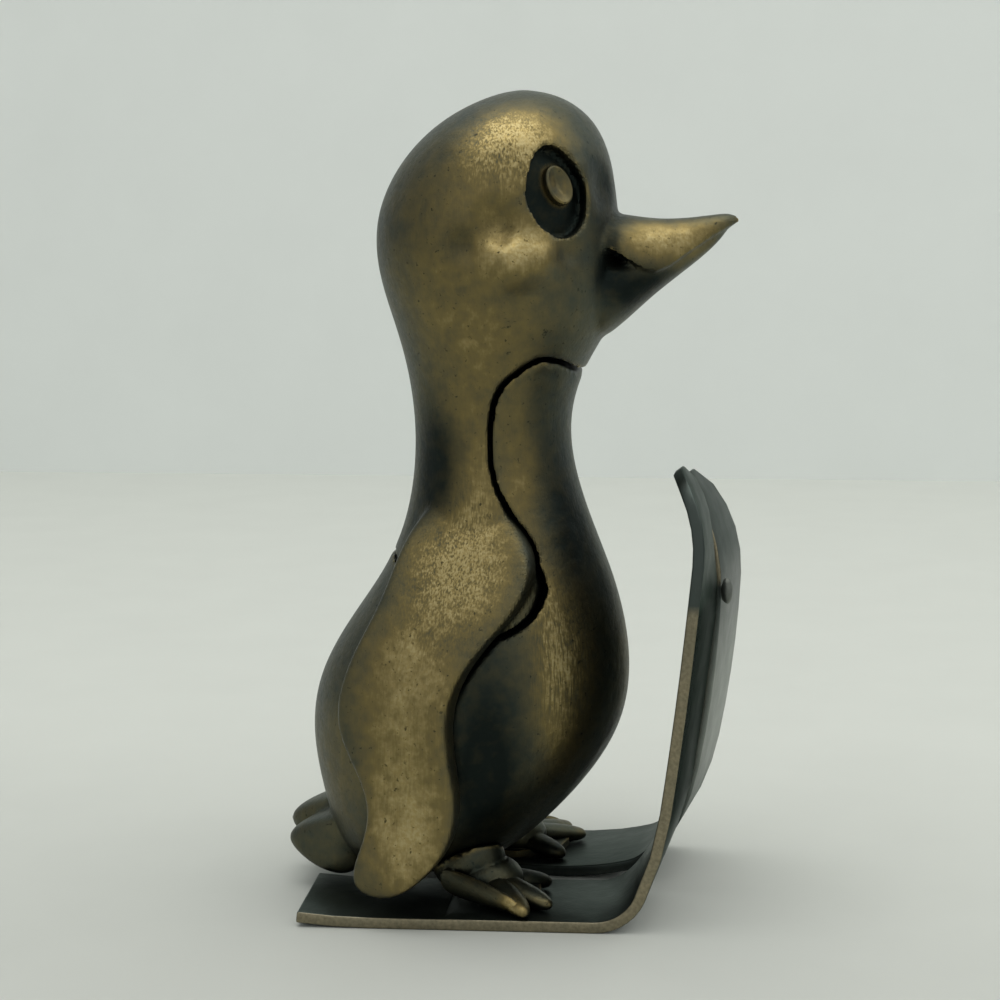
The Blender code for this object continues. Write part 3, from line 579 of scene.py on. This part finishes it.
def patinated_pewter(name, rubbed_and_highlight_spots, black_and_shade_spots, even_wear=None):
    """Blackened pewter: a semi-dull greenish black skin, rubbed through to warm brassy metal on the high
    parts and edges, with fine cloth scratches and painted glints; some patches add painted highlight and
    painted shade."""
    material, tree, shader, place = new_material(name)
    x, y, z = node(tree, "SeparateXYZ", {"Vector": place}).outputs
    aside = node(tree, "Math", {0: y}, operation="ABSOLUTE")
    mirrored = node(tree, "CombineXYZ", {"X": x, "Y": aside, "Z": z})
    drawn = node(tree, "Mapping", {"Vector": place, "Rotation": (0.0, radians(SCRATCH_SLANT), 0.0), "Scale": [
        1.0 / (width * MM) for width in (SCRATCH_WIDTH, SCRATCH_WIDTH, SCRATCH_LENGTH)]})
    swell, mottle, fine, brushed, pits = [
        node(tree, "TexNoise", {"Vector": where, "Scale": scale, "Detail": detail, "Roughness": roughness})
        for where, scale, detail, roughness in (
            (place, 1.0 / (CLOUD_WIDTH * MM), 2.0, 0.5), (place, 1.0 / (MOTTLE_WIDTH * MM), 3.0, 0.5),
            (place, 1.0 / (GRAIN_WIDTH * MM), 2.0, 0.5), (drawn, 1.0, 2.0, 0.5),
            (place, 1.0 / (PIT_WIDTH * MM), 3.0, 0.65))]

    # How far the skin is rubbed, with painted highlight, and where it is black, with painted shade, before
    # the small changes
    black = 0.0
    if even_wear is None:
        covered = 1.0 - GENERAL_WEAR
        for centre, size, share in rubbed_and_highlight_spots:
            left = node(tree, "MapRange", {0: spot(tree, mirrored, centre, size), 3: 1.0, 4: 1.0 - share})
            covered = node(tree, "Math", {0: covered, 1: left}, operation="MULTIPLY")
        kept = kept_black_and_shade(tree, mirrored, black_and_shade_spots)
        # Faces turned to the sides are rubbed most; faces turned forward, back, up or down keep more black,
        # partly as painted shade
        normal = node(tree, "NewGeometry").outputs["Normal"]
        aside = node(tree, "SeparateXYZ", {"Vector": normal}).outputs["Y"]
        aside = node(tree, "Math", {0: aside}, operation="ABSOLUTE")
        facing = node(tree, "MapRange", {0: aside, 1: 0.25, 2: 0.80, 3: 0.35, 4: 1.0})
        edge = node(tree, "AmbientOcclusion", {"Distance": EDGE_REACH * MM}, samples=6, inside=True)
        edge = node(tree, "MapRange", {0: edge.outputs["AO"], 1: 0.80, 2: 0.45, 4: 0.7})
        hollow = node(tree, "AmbientOcclusion", {"Distance": HOLLOW_REACH * MM}, samples=6).outputs["AO"]
        open_skin = node(tree, "MapRange", {0: hollow, 1: 0.35, 2: 0.90})
        dirt = node(tree, "MapRange", {0: hollow, 1: 0.82, 2: 0.42})
        rubbed = node(tree, "Math", {0: 1.0, 1: covered}, operation="SUBTRACT")
        for operation, by in (("MULTIPLY", facing), ("MULTIPLY", kept), ("MAXIMUM", edge),
                              ("MULTIPLY", open_skin)):
            rubbed = node(tree, "Math", {0: rubbed, 1: by}, operation=operation)
        # Deep black where the black was kept, with painted shade in the shade patches, then in hollows and
        # pits
        black = node(tree, "Math", {0: 1.0, 1: kept}, operation="SUBTRACT")
        black = node(tree, "Math", {0: black, 1: dirt}, operation="MAXIMUM")
    else:
        rubbed = node(tree, "MapRange", {0: mottle, 1: 0.3, 2: 0.7, 3: even_wear - 0.1, 4: even_wear + 0.1})

    # Mottling and scratches, strongest where the metal is bare, and the pits that hold black
    scratched = 0.12
    for centre, size in SCRATCHED:
        patch = spot(tree, mirrored, centre, size)
        scratched = node(tree, "Math", {0: scratched, 1: patch}, operation="MAXIMUM")
    scratched = node(tree, "Math", {0: scratched, 1: rubbed}, operation="MULTIPLY")
    mottled = node(tree, "MapRange", {0: mottle, 1: 0.3, 2: 0.7, 3: -0.5, 4: 0.5})
    cloudy = node(tree, "MapRange", {0: swell, 1: 0.3, 2: 0.7, 3: -0.4, 4: 0.4})
    changes = node(tree, "Math", {0: mottled, 1: cloudy}, operation="ADD")
    strength = node(tree, "MapRange", {0: rubbed, 2: 0.6, 3: 0.06, 4: 0.28})
    changes = node(tree, "Math", {0: changes, 1: strength}, operation="MULTIPLY")
    worn = node(tree, "Math", {0: rubbed, 1: changes}, operation="ADD")
    strokes = node(tree, "MapRange", {0: brushed, 1: 0.32, 2: 0.68, 3: -0.8, 4: 0.7})
    grain = node(tree, "MapRange", {0: fine, 1: 0.32, 2: 0.68, 3: -0.2, 4: 0.2})
    strokes = node(tree, "Math", {0: strokes, 1: grain}, operation="ADD")
    for share in (scratched, 0.75):
        strokes = node(tree, "Math", {0: strokes, 1: share}, operation="MULTIPLY")
    worn = node(tree, "Math", {0: worn, 1: strokes}, operation="ADD", use_clamp=True)
    pits = node(tree, "MapRange", {0: pits, 1: 0.63, 2: 0.72, 4: 0.75})
    clean = node(tree, "Math", {0: 1.0, 1: pits}, operation="SUBTRACT")
    worn = node(tree, "Math", {0: worn, 1: clean}, operation="MULTIPLY")
    black = node(tree, "Math", {0: black, 1: pits}, operation="MAXIMUM")
    # Painted glints: bright specks on the most rubbed metal, painted in as highlights
    painted_glints = node(tree, "MapRange", {0: worn, 1: 0.60, 2: 1.1})
    painted_sparkle = node(tree, "MapRange", {0: fine, 1: 0.36, 2: 0.66, 3: 0.25, 4: 0.6})
    painted_glints = node(tree, "Math", {0: painted_glints, 1: painted_sparkle}, operation="MULTIPLY")

    # Greenish black skin, deep black and painted shade, brassy rubbed metal with painted highlight, and its
    # painted glints
    base = colour("3B4442")
    for share, code in ((swell, "474D44"), (black, "1D2321"), (worn, "937F4A"), (painted_glints, "C9BD93")):
        base = node(tree, "Mix", {0: share, 6: base, 7: colour(code)}, data_type="RGBA").outputs[2]
    tree.links.new(base, shader.inputs["Base Color"])
    dull = node(tree, "MapRange", {0: worn, 3: 0.40, 4: 0.36})
    rough_grain = node(tree, "MapRange", {0: fine, 1: 0.3, 2: 0.7, 4: 0.10})
    dull = node(tree, "Math", {0: dull, 1: rough_grain}, operation="ADD")
    tree.links.new(dull.outputs[0], shader.inputs["Roughness"])
    shader.inputs["Metallic"].default_value = 1.0
    height = 0.0
    for pattern, depth in ((fine, 0.018), (brushed, 0.012), (mottle, 0.05), (swell, 0.16)):
        relief = node(tree, "MapRange", {0: pattern, 4: depth})
        height = node(tree, "Math", {0: height, 1: relief}, operation="ADD")
    bump = node(tree, "Bump", {"Height": height, "Strength": 1.0, "Distance": MM})
    tree.links.new(bump.outputs["Normal"], shader.inputs["Normal"])
    return material


coat.data.materials.append(patinated_pewter("patinated_coat_pewter", COAT_RUBBED_AND_HIGHLIGHTS, COAT_BLACK_AND_SHADE))
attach(coat, "root")
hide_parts("head_and_wings")

# Pupils.
# A raised oval in each eye hollow, part of the same casting: a low disc with a worn rim and a small pit.
PUPIL_SIZE = (1.55, 2.2)
PUPIL_HEIGHT = 0.8
PUPIL_TURN = 46.5
PUPIL_RISE = 12.6
PUPIL_LEAN = 20.0
PUPIL_WEAR = 0.36
PUPIL_ROUNDING = 0.22
# Steps in its face: width of the rim, width of the slope inside it, and how far that drops
PUPIL_STEPS = ((0.30, 0.14, 0.16), (0.50, 0.14, 0.14))
rubbed_pewter = patinated_pewter("rubbed_pewter", (), (), PUPIL_WEAR)
for side, word in ((1, "left"), (-1, "right")):
    # It sits where a line from 4 mm outside the head meets the floor of the hollow
    outside, out = eye_part(side, PUPIL_TURN, PUPIL_RISE, -4.0)
    seat = coat.ray_cast(at(*outside), -out)[1]
    bpy.ops.object.select_all(action="DESELECT")
    bpy.ops.mesh.primitive_cylinder_add(vertices=48, radius=MM, depth=2.0 * PUPIL_HEIGHT * MM, location=seat)
    pupil = bpy.context.object
    pupil.name = word + "_pupil"
    pupil.scale = (*PUPIL_SIZE, 1.0)
    bpy.ops.object.transform_apply(location=False, rotation=False, scale=True)
    bpy.ops.object.mode_set(mode="EDIT")
    pick("FACE", lambda face: face.normal.z > 0.9)
    for rim, slope, drop in PUPIL_STEPS:
        bpy.ops.mesh.inset(thickness=rim * MM)
        bpy.ops.mesh.inset(thickness=slope * MM)
        bpy.ops.transform.translate(value=(0.0, 0.0, -drop * MM))
    pick("EDGE", lambda edge: edge.calc_face_angle(0.0) > radians(70))
    bpy.ops.mesh.bevel(offset=PUPIL_ROUNDING * MM, segments=3, affect="EDGES")
    bpy.ops.object.mode_set(mode="OBJECT")
    look_out(pupil, out, -PUPIL_LEAN * side)
    finish_mesh(pupil)
    bpy.ops.object.shade_smooth_by_angle(angle=radians(50))
    pupil.data.materials.append(rubbed_pewter)
    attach(pupil, "root")
    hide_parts("head_and_wings")

# Body casting.
# One pewter casting: throat, breast, belly, back bulge and the two tail lobes. It has room for the wings
# along its sides and sits on the feet.
# Tail lobe: x, middle height, half width, half height
TAIL_RINGS = ((-14.0, 4.8, 3.9, 3.8), (-17.0, 4.5, 3.5, 3.6), (-19.6, 4.5, 2.7, 2.7), (-21.6, 4.6, 1.8, 1.5))
TAIL_ENDS = ((-11.0, 5.2), (-22.9, 4.6))
TAIL_ROUNDING = 1.3
# How far each lobe is moved along x, y and z
TAIL_LOBES = ((-0.4, 2.6, 0.3), (0.7, -2.6, -0.5))
# How deep in the open seam its floor lies
LAND_DEPTH = 2.4
body = bird_loft("torso")
belly_room = duplicate(body, "belly_room")
inner_land = duplicate(body, "inner_land")
combine(body, seam_block(0.5), "DIFFERENCE")
add_modifier(inner_land, "DISPLACE", strength=-LAND_DEPTH * MM, mid_level=0.0)
combine(inner_land, seam_block(-0.3), "DIFFERENCE")
combine(body, inner_land, "UNION")
for x_shift, y_shift, z_shift in TAIL_LOBES:
    rings = [((x + x_shift, y_shift, z + z_shift), (1.0, wide, high), 0.0, TAIL_ROUNDING)
             for x, z, wide, high in TAIL_RINGS]
    ends = [(x + x_shift, y_shift, z + z_shift) for x, z in TAIL_ENDS]
    combine(body, loft("tail_lobe", rings, ends, upright=True), "UNION")
for wing in wings:
    add_modifier(wing, "DISPLACE", strength=CLEARANCE * MM, mid_level=0.0)
    combine(body, wing, "DIFFERENCE")
SCREW_TOP = 10.45
SCREW_RADIUS = 1.0
bore(body, "neck_stud", *STUD_HOLE)
for name in ("right_screw", "left_screw"):
    bore(body, name, 0.0, SCREW_TOP, SCREW_RADIUS + CLEARANCE)
cast_surface(body)
# The rubbed band down the belly, and the flanks and breast that stayed black, darkened further as painted
# shade under the wings and on the breast
BODY_RUBBED = (
    ((11.6, 10.5, 26.0), (5.4, 9.0, 19.0), 0.75), ((8.6, 10.5, 36.0), (4.2, 7.0, 9.0), 0.5),
    ((6.8, 8.5, 46.0), (3.4, 6.0, 13.0), 0.5), ((3.0, 9.5, 58.0), (10.0, 8.0, 16.0), 0.35),
    ((-14.0, 11.0, 15.0), (7.0, 8.0, 10.0), 0.25), ((17.8, 1.0, 27.0), (3.0, 6.0, 13.0), 0.8))
BODY_BLACK_AND_SHADE = (((3.4, 13.6, 16.0), (8.0, 7.0, 23.0), 1.0), ((12.8, 5.6, 45.0), (6.0, 7.4, 20.0), 1.0))
body.data.materials.append(patinated_pewter("patinated_body_pewter", BODY_RUBBED, BODY_BLACK_AND_SHADE))
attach(body, "root")
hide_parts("body")

# Feet.
# Two small webbed feet with three toes each, cast in pewter and screwed between body and ski.
ANKLE = (2.4, 8.4, 2.2)
HEEL_SIZE = (4.2, 3.4, 2.6)
LEG = (0.4, 8.2, 4.0)
LEG_SIZE = (4.2, 3.2, 4.0)
# The outer side stands up as a thin ridge: its ends, and part of the way, half width, half height
RIDGE_ENDS = ((-2.4, 10.6, 2.5), (7.6, 16.1, 1.3))
RIDGE_RINGS = ((0.05, 0.5, 1.6), (0.5, 0.6, 1.4), (0.9, 0.7, 0.9))
TOE_TIPS = ((8.4, 16.8), (10.7, 13.7), (9.4, 5.0))
# Toe: part of the way, half width, half height
TOE_RINGS = ((0.15, 1.5, 1.1), (0.45, 1.6, 1.2), (0.76, 1.4, 1.0), (0.87, 1.0, 0.8), (0.95, 0.7, 0.6))
TOE_TIP_HEIGHT = 0.8
# Corners of the flat web between the toes
WEB = ((-2.6, 7.0), (1.2, 11.0), (5.2, 14.4), (8.0, 13.6), (9.0, 10.6), (8.4, 7.0), (3.6, 4.6), (-1.0, 5.0))
WEB_THICKNESS = 0.8
add_modifier(belly_room, "DISPLACE", strength=CLEARANCE * MM, mid_level=0.0)
# The outer toe is worn bright
FOOT_RUBBED = (((7.4, 15.6, 1.4), (3.4, 3.0, 3.0), 1.0), ((10.4, 13.2, 1.6), (2.2, 2.0, 2.4), 0.5),
               ((6.2, 11.6, 3.6), (2.4, 2.0, 1.6), 0.35))
# The inner toes and the heel under the belly are kept black, darkened further as painted shade under the
# belly
FOOT_BLACK_AND_SHADE = (((8.0, 5.6, 1.6), (6.0, 4.5, 4.0), 0.9), ((2.0, 8.6, 4.0), (5.0, 4.5, 4.5), 0.8))
foot_pewter = patinated_pewter("patinated_foot_pewter", FOOT_RUBBED, FOOT_BLACK_AND_SHADE)
for side, word in ((1, "left"), (-1, "right")):
    corners = [at(x, y * side, CLEARANCE) for x, y in WEB]
    foot = drawn_block(word + "_webbed_foot", corners, (0.0, 0.0, WEB_THICKNESS * MM))
    ankle, leg = (Vector((x, y * side, z)) for x, y, z in (ANKLE, LEG))
    combine(foot, ball("heel", ankle, HEEL_SIZE), "UNION")
    combine(foot, ball("leg", leg, LEG_SIZE), "UNION")
    toes = [("ridge", *(Vector((x, y * side, z)) for x, y, z in RIDGE_ENDS), RIDGE_RINGS, 1.0)]
    toes += [("toe", ankle, Vector((x, y * side, TOE_TIP_HEIGHT)), TOE_RINGS, SECTION_SWELL)
             for x, y in TOE_TIPS]
    for part_name, start, tip, sections, swell in toes:
        heading = atan2(tip.y - start.y, tip.x - start.x)
        rings = [(tuple(start.lerp(tip, part)), (1.0, wide * swell, high * swell), heading, None)
                 for part, wide, high in sections]
        combine(foot, loft(part_name, rings, (tuple(start), tuple(tip)), upright=True), "UNION")
    combine(foot, belly_room, "DIFFERENCE", keep=True)
    bpy.ops.object.mode_set(mode="EDIT")
    bpy.ops.mesh.select_all(action="SELECT")
    bpy.ops.mesh.bisect(plane_co=at(0, 0, CLEARANCE), plane_no=(0, 0, 1), use_fill=True, clear_inner=True)
    bpy.ops.object.mode_set(mode="OBJECT")
    bore(foot, word + "_screw", 0.0, SCREW_TOP, SCREW_RADIUS + CLEARANCE)
    bpy.ops.object.shade_smooth_by_angle(angle=radians(40))
    foot.data.materials.append(foot_pewter)
    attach(foot, "root")
    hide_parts(word + "_foot")
bpy.data.objects.remove(belly_room)

# Skis.
# Two pewter strips, bent cold by hand, blackened on their faces and ground bare along their edges. They
# point inward, and the left one's front stands ahead of the right one's.
SKI_TAIL_WIDTH = 14.0
SKI_FRONT_WIDTH = 16.0
SKI_TIP_WIDTH = 2.4
SKI_TIP_LENGTH = 16.0
SKI_TAIL_KICK = 7.0
SKI_EDGE_GAP = 0.35
SKI_EDGE_ROUNDING = 0.22
# The screws are countersunk from under the skis
SCREW_HEAD_RADIUS = 2.0
SCREW_HEAD_RIM = 0.4
SCREW_HEAD_TOP = 1.1
# Height up the right ski, and the degrees its section is turned there
RIGHT_SKI_TWIST = ((1.0, 0.0), (11.0, 8.0), (33.0, 8.0), (43.0, 3.0))
# Each ski: its tail's place, the degrees it points inward, and its runs from the tail, each with its length
# and the degrees it turns upward. The left tail's place across follows from how the fronts meet.
RIGHT_SKI = ((-17.5, -11.4), 4.8, ((8.0, 7), (24.6, 0), (6.8, 66), (10.0, 15), (27.0, 3), (10.4, 42)))
LEFT_SKI = ((-18.6, None), 4.2, ((8.0, 7), (17.6, 0), (7.3, 9), (3.8, 7), (3.0, 29), (5.8, 20), (6.8, 13),
                                 (20.0, 9), (14.4, 44)))


def ski_path(runs):
    """Stations of a ski's underside from tail to tip: forward, up, length so far and heading."""
    heading = -radians(SKI_TAIL_KICK)
    stations = [(0.0, 0.0, 0.0, heading)]
    for length, turned in runs:
        steps = max(2, round(length / 4), round(turned / 9))
        for _ in range(steps):
            x, z, along, _ = stations[-1]
            middle = heading + radians(turned) / steps / 2
            heading += radians(turned) / steps
            step = length / steps
            stations.append((x + step * cos(middle), z + step * sin(middle), along + step, heading))
    lowest = min(station[1] for station in stations)
    return [(x, z - lowest, along, heading) for x, z, along, heading in stations]


def ski_half_width(along, total):
    """Half a ski's width: it widens toward the front, then closes in a rounded point."""
    share = min(along / (total - SKI_TIP_LENGTH), 1.0)
    half = (SKI_TAIL_WIDTH + (SKI_FRONT_WIDTH - SKI_TAIL_WIDTH) * share) / 2
    closing = max(0.0, 1.0 - (total - along) / SKI_TIP_LENGTH)
    return SKI_TIP_WIDTH / 2 + (half - SKI_TIP_WIDTH / 2) * (1.0 - closing ** 2) ** 0.5


def twist(side, height):
    """How far a ski's section is turned at a height, in degrees: only the right one's front is."""
    if side > 0:
        return 0.0
    height = min(max(height, RIGHT_SKI_TWIST[0][0]), RIGHT_SKI_TWIST[-1][0])
    pairs = zip(RIGHT_SKI_TWIST, RIGHT_SKI_TWIST[1:])
    low, high = next((low, high) for low, high in pairs if height <= high[0])
    share = (height - low[0]) / (high[0] - low[0])
    return low[1] + (high[1] - low[1]) * share ** 2 * (3.0 - 2.0 * share)


def section_middle(x, z, heading):
    """The middle of a ski's section over a station of its underside."""
    return Vector((x - sin(heading) * SKI_THICKNESS / 2, 0.0, z + cos(heading) * SKI_THICKNESS / 2))


def bend_ski(name, side, toe_in, tail, runs):
    """Draw the strip out from its tail section by section, turning and widening it as it goes."""
    stations = ski_path(runs)
    total = stations[-1][2]
    bpy.ops.object.select_all(action="DESELECT")
    x, z, along, heading = stations[0]
    here = section_middle(x, z, heading)
    bpy.ops.mesh.primitive_plane_add(size=2.0 * MM, location=here * MM,
                                     rotation=(0.0, radians(90) - heading, 0.0))
    piece = bpy.context.object
    piece.name = name
    bpy.ops.object.transform_apply(location=True, rotation=True, scale=True)
    bpy.ops.object.mode_set(mode="EDIT")
    bpy.ops.mesh.select_all(action="SELECT")
    half = ski_half_width(along, total)
    bpy.ops.transform.resize(value=(SKI_THICKNESS / 2, half, SKI_THICKNESS / 2), center_override=here * MM)
    for x, z, along, new_heading in stations[1:]:
        there = section_middle(x, z, new_heading)
        bpy.ops.mesh.extrude_region_move(TRANSFORM_OT_translate={"value": (there - here) * MM})
        bpy.ops.transform.rotate(value=new_heading - heading, orient_axis="Y", center_override=there * MM)
        new_half = ski_half_width(along, total)
        bpy.ops.transform.resize(value=(1.0, new_half / half, 1.0), center_override=there * MM)
        here, heading, half = there, new_heading, new_half
    for x, z, along, heading in stations:
        if twist(side, z):
            middle = section_middle(x, z, heading)
            pick("VERT", lambda v: (v.co.xz / MM - middle.xz).length < SKI_THICKNESS * 0.6)
            outer = Vector((middle.x, SKI_FRONT_WIDTH / 2 * side, middle.z))
            bpy.ops.transform.rotate(value=radians(twist(side, z)), orient_axis="Z",
                                     center_override=outer * MM)
    bpy.ops.mesh.select_all(action="SELECT")
    bpy.ops.mesh.normals_make_consistent(inside=False)
    pick("EDGE", lambda edge: edge.calc_face_angle(0.0) > radians(60))
    bpy.ops.mesh.bevel(offset=SKI_EDGE_ROUNDING * MM, segments=3, affect="EDGES")
    bpy.ops.object.mode_set(mode="OBJECT")
    piece.location = (ORIGIN.x + tail[0] * MM, tail[1] * MM, 0.0)
    piece.rotation_euler.z = radians(-toe_in * side)
    finish_mesh(piece)
    bpy.ops.object.shade_smooth_by_angle(angle=radians(50))
    return piece


# Width of the clouds in the strip's black, in millimetres
HAZE_WIDTH = 3.333
# Heights over which the front's black grows dull and shiny again, the height round which the front is
# lightest grey, and how far from there it's lightest and is plain black again
DULL_FROM, DULL_TO = (7.0, 13.0), (34.5, 39.0)
GREY_BAND_HEIGHT = 20.0
GREY_BAND_REACH = (4.0, 14.0)


def blackened_strip(name, face, grazing, mid_front_grey, bare_from, bare_to):
    """Rolled pewter strip: blue-black, faintly cloudy faces, and edges ground to bare warm grey metal
    between two heights. The duller the black on the front, the less it shines at a low angle. The front
    is mixed toward a light grey round its middle height."""
    material, tree, shader, place = new_material(name)
    normal = node(tree, "NewGeometry").outputs["True Normal"]
    aside = node(tree, "SeparateXYZ", {"Vector": normal}).outputs["Y"]
    aside = node(tree, "Math", {0: aside}, operation="ABSOLUTE")
    height = node(tree, "SeparateXYZ", {"Vector": place}).outputs["Z"]
    cloud, fine = [node(tree, "TexNoise", {"Vector": place, "Scale": 1.0 / (width * MM), "Detail": detail})
                   for width, detail in ((HAZE_WIDTH, 4.0), (GRAIN_WIDTH, 2.0))]

    # Bare metal on the ground edges
    bare = node(tree, "MapRange", {0: aside, 1: 0.45, 2: 0.75})
    for limit, outside in ((bare_from, bare_from - 1.0), (bare_to, bare_to + 1.0)):
        within = node(tree, "MapRange", {0: height, 1: outside * MM, 2: limit * MM})
        bare = node(tree, "Math", {0: bare, 1: within}, operation="MULTIPLY")
    patchy = node(tree, "MapRange", {0: cloud, 1: 0.3, 2: 0.7, 3: 0.75})
    bare = node(tree, "Math", {0: bare, 1: patchy}, operation="MULTIPLY")

    # Black faces, mixed toward light grey round the middle of the front, and the ground metal's own tones
    offset = node(tree, "Math", {0: height, 1: GREY_BAND_HEIGHT * MM}, operation="SUBTRACT")
    offset = node(tree, "Math", {0: offset}, operation="ABSOLUTE")
    mid_front_grey_share = node(tree, "MapRange", {0: offset, 1: GREY_BAND_REACH[1] * MM, 2: GREY_BAND_REACH[0] * MM, 4: mid_front_grey})
    ground_share = node(tree, "MapRange", {0: fine, 1: 0.3, 2: 0.7})
    ground = node(tree, "Mix", {0: ground_share, 6: colour("7C745F"), 7: colour("958C74")}, data_type="RGBA")
    base = colour(face)
    for share, over in ((cloud, colour("4A504D")), (mid_front_grey_share, colour("9A9F98")), (bare, ground.outputs[2])):
        base = node(tree, "Mix", {0: share, 6: base, 7: over}, data_type="RGBA").outputs[2]
    tree.links.new(base, shader.inputs["Base Color"])
    dull = node(tree, "MapRange", {0: cloud, 1: 0.3, 2: 0.7, 3: 0.34, 4: 0.44})
    tree.links.new(dull.outputs[0], shader.inputs["Roughness"])
    shader.inputs["Metallic"].default_value = 1.0
    front = node(tree, "MapRange", {0: height, 1: DULL_FROM[0] * MM, 2: DULL_FROM[1] * MM})
    below_tip = node(tree, "MapRange", {0: height, 1: DULL_TO[1] * MM, 2: DULL_TO[0] * MM, 3: 0.2})
    front = node(tree, "Math", {0: front, 1: below_tip}, operation="MULTIPLY")
    tint = node(tree, "Mix", {0: front, 6: colour("D8DCDA"), 7: colour(grazing)}, data_type="RGBA")
    tree.links.new(tint.outputs[2], shader.inputs["Specular Tint"])
    relief = 0.0
    for pattern, depth in ((fine, 0.015), (cloud, 0.12)):
        raised = node(tree, "MapRange", {0: pattern, 4: depth})
        relief = node(tree, "Math", {0: relief, 1: raised}, operation="ADD")
    bump = node(tree, "Bump", {"Height": relief, "Strength": 1.0, "Distance": MM})
    tree.links.new(bump.outputs["Normal"], shader.inputs["Normal"])
    return material


def ski_inner_edge(side, toe_in, tail, runs, height):
    """Where the inner edge of a ski's front face is at a height."""
    stations = ski_path(runs)
    front = [Vector(station[:3]) for station in stations if station[0] > stations[-1][2] / 3]
    above = next(i for i, station in enumerate(front) if station.y >= height)
    x, _, along = front[above - 1].lerp(front[above], (height - front[above - 1].y)
                                        / (front[above].y - front[above - 1].y))
    half = ski_half_width(along, stations[-1][2])
    forward = tan(radians(twist(side, height))) * (half + SKI_FRONT_WIDTH / 2)
    edge = Vector((x + forward, -side * half))
    return Vector(tail) + Matrix.Rotation(radians(-toe_in * side), 2) @ edge


RIGHT_TAIL, RIGHT_TOE_IN, RIGHT_RUNS = RIGHT_SKI
LEFT_TOE_IN, LEFT_RUNS = LEFT_SKI[1:]
SOLDER_HEIGHT = 34.8
spread = max(ski_inner_edge(-1, RIGHT_TOE_IN, RIGHT_TAIL, RIGHT_RUNS, height).y + SKI_EDGE_GAP
             - ski_inner_edge(1, LEFT_TOE_IN, (LEFT_SKI[0][0], 0.0), LEFT_RUNS, height).y
             for height in range(round(SOLDER_HEIGHT / 4), round(SOLDER_HEIGHT) + 6))
LEFT_TAIL = (LEFT_SKI[0][0], spread)
shiny_strip = blackened_strip("shiny_blackened_strip", "2E3533", "FFFFFF", 0.5, 36.0, 60.0)
dull_strip = blackened_strip("dull_blackened_strip", "454D4A", "7C817E", 0.0, -5.0, 35.0)
for side, word, strip, toe_in, tail, runs in (
        (1, "left", shiny_strip, LEFT_TOE_IN, LEFT_TAIL, LEFT_RUNS),
        (-1, "right", dull_strip, RIGHT_TOE_IN, RIGHT_TAIL, RIGHT_RUNS)):
    ski = bend_ski(word + "_bent_ski", side, toe_in, tail, runs)
    bore(ski, word + "_screw", -1.0, SCREW_HEAD_RIM, SCREW_HEAD_RADIUS + CLEARANCE)
    bore(ski, word + "_screw", SCREW_HEAD_RIM, SCREW_HEAD_TOP + CLEARANCE, SCREW_HEAD_RADIUS + CLEARANCE,
         SCREW_RADIUS + CLEARANCE)
    bpy.ops.object.shade_smooth_by_angle(angle=radians(50))
    ski.data.materials.append(strip)
    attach(ski, "root")
    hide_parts(word + "_ski")

# Solder.
# A small drop of tin solder on the skis' inner edges, left as it set. It stands in for the grey patch that
# the photo shows where the fronts meet.
LUMP_WIDTH = 0.9
LUMP_HEIGHT = 0.3
SOLDER_GRAIN = 1.111
low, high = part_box("ski_tip_joint")
middle = (low + high) / 2
bpy.ops.object.select_all(action="DESELECT")
bpy.ops.mesh.primitive_uv_sphere_add(segments=32, ring_count=20, radius=1.0, location=middle)
drop = bpy.context.object
drop.name = "solder_drop"
drop.scale = (high - low) / 2
finish_mesh(drop)
lumps = bpy.data.textures.new("solder_lumps", "CLOUDS")
lumps.noise_scale = LUMP_WIDTH * MM
add_modifier(drop, "DISPLACE", texture=lumps, strength=LUMP_HEIGHT * MM, mid_level=0.6)
# Tin solder: dull cool grey, uneven from the way it set
material, tree, shader, place = new_material("tin_solder")
cloud = node(tree, "TexNoise", {"Vector": place, "Scale": 1.0 / (SOLDER_GRAIN * MM), "Detail": 3.0})
base = node(tree, "Mix", {0: cloud, 6: colour("575B57"), 7: colour("7C7F79")}, data_type="RGBA")
tree.links.new(base.outputs[2], shader.inputs["Base Color"])
shader.inputs["Metallic"].default_value = 1.0
shader.inputs["Roughness"].default_value = 0.5
bump = node(tree, "Bump", {"Height": cloud, "Strength": 1.0, "Distance": 0.15 * MM})
tree.links.new(bump.outputs["Normal"], shader.inputs["Normal"])
drop.data.materials.append(material)
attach(drop, "root")
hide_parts("ski_tip_joint")

# Stud and screws.
# Plain turned steel, as bought. The stud is hidden in the neck and the screws sit under the skis.
# How wide the tool's marks run round a piece, and their pitch along it, in millimetres
TURNING_WIDTH, TURNING_PITCH = 3.333, 0.1111
# Turned steel: cool light grey with fine rings round its axis
material, tree, shader, place = new_material("turned_steel")
rings = node(tree, "Mapping", {"Vector": place, "Scale": [
    1.0 / (width * MM) for width in (TURNING_WIDTH, TURNING_WIDTH, TURNING_PITCH)]})
lines = node(tree, "TexNoise", {"Vector": rings, "Scale": 1.0})
base = node(tree, "Mix", {0: lines, 6: colour("8E8E8B"), 7: colour("A9A9A5")}, data_type="RGBA")
tree.links.new(base.outputs[2], shader.inputs["Base Color"])
dull = node(tree, "MapRange", {0: lines, 1: 0.3, 2: 0.7, 3: 0.26, 4: 0.40})
tree.links.new(dull.outputs[0], shader.inputs["Roughness"])
shader.inputs["Metallic"].default_value = 1.0
for name in ("neck_stud", "right_screw", "left_screw"):
    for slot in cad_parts[name].material_slots:
        slot.material = material
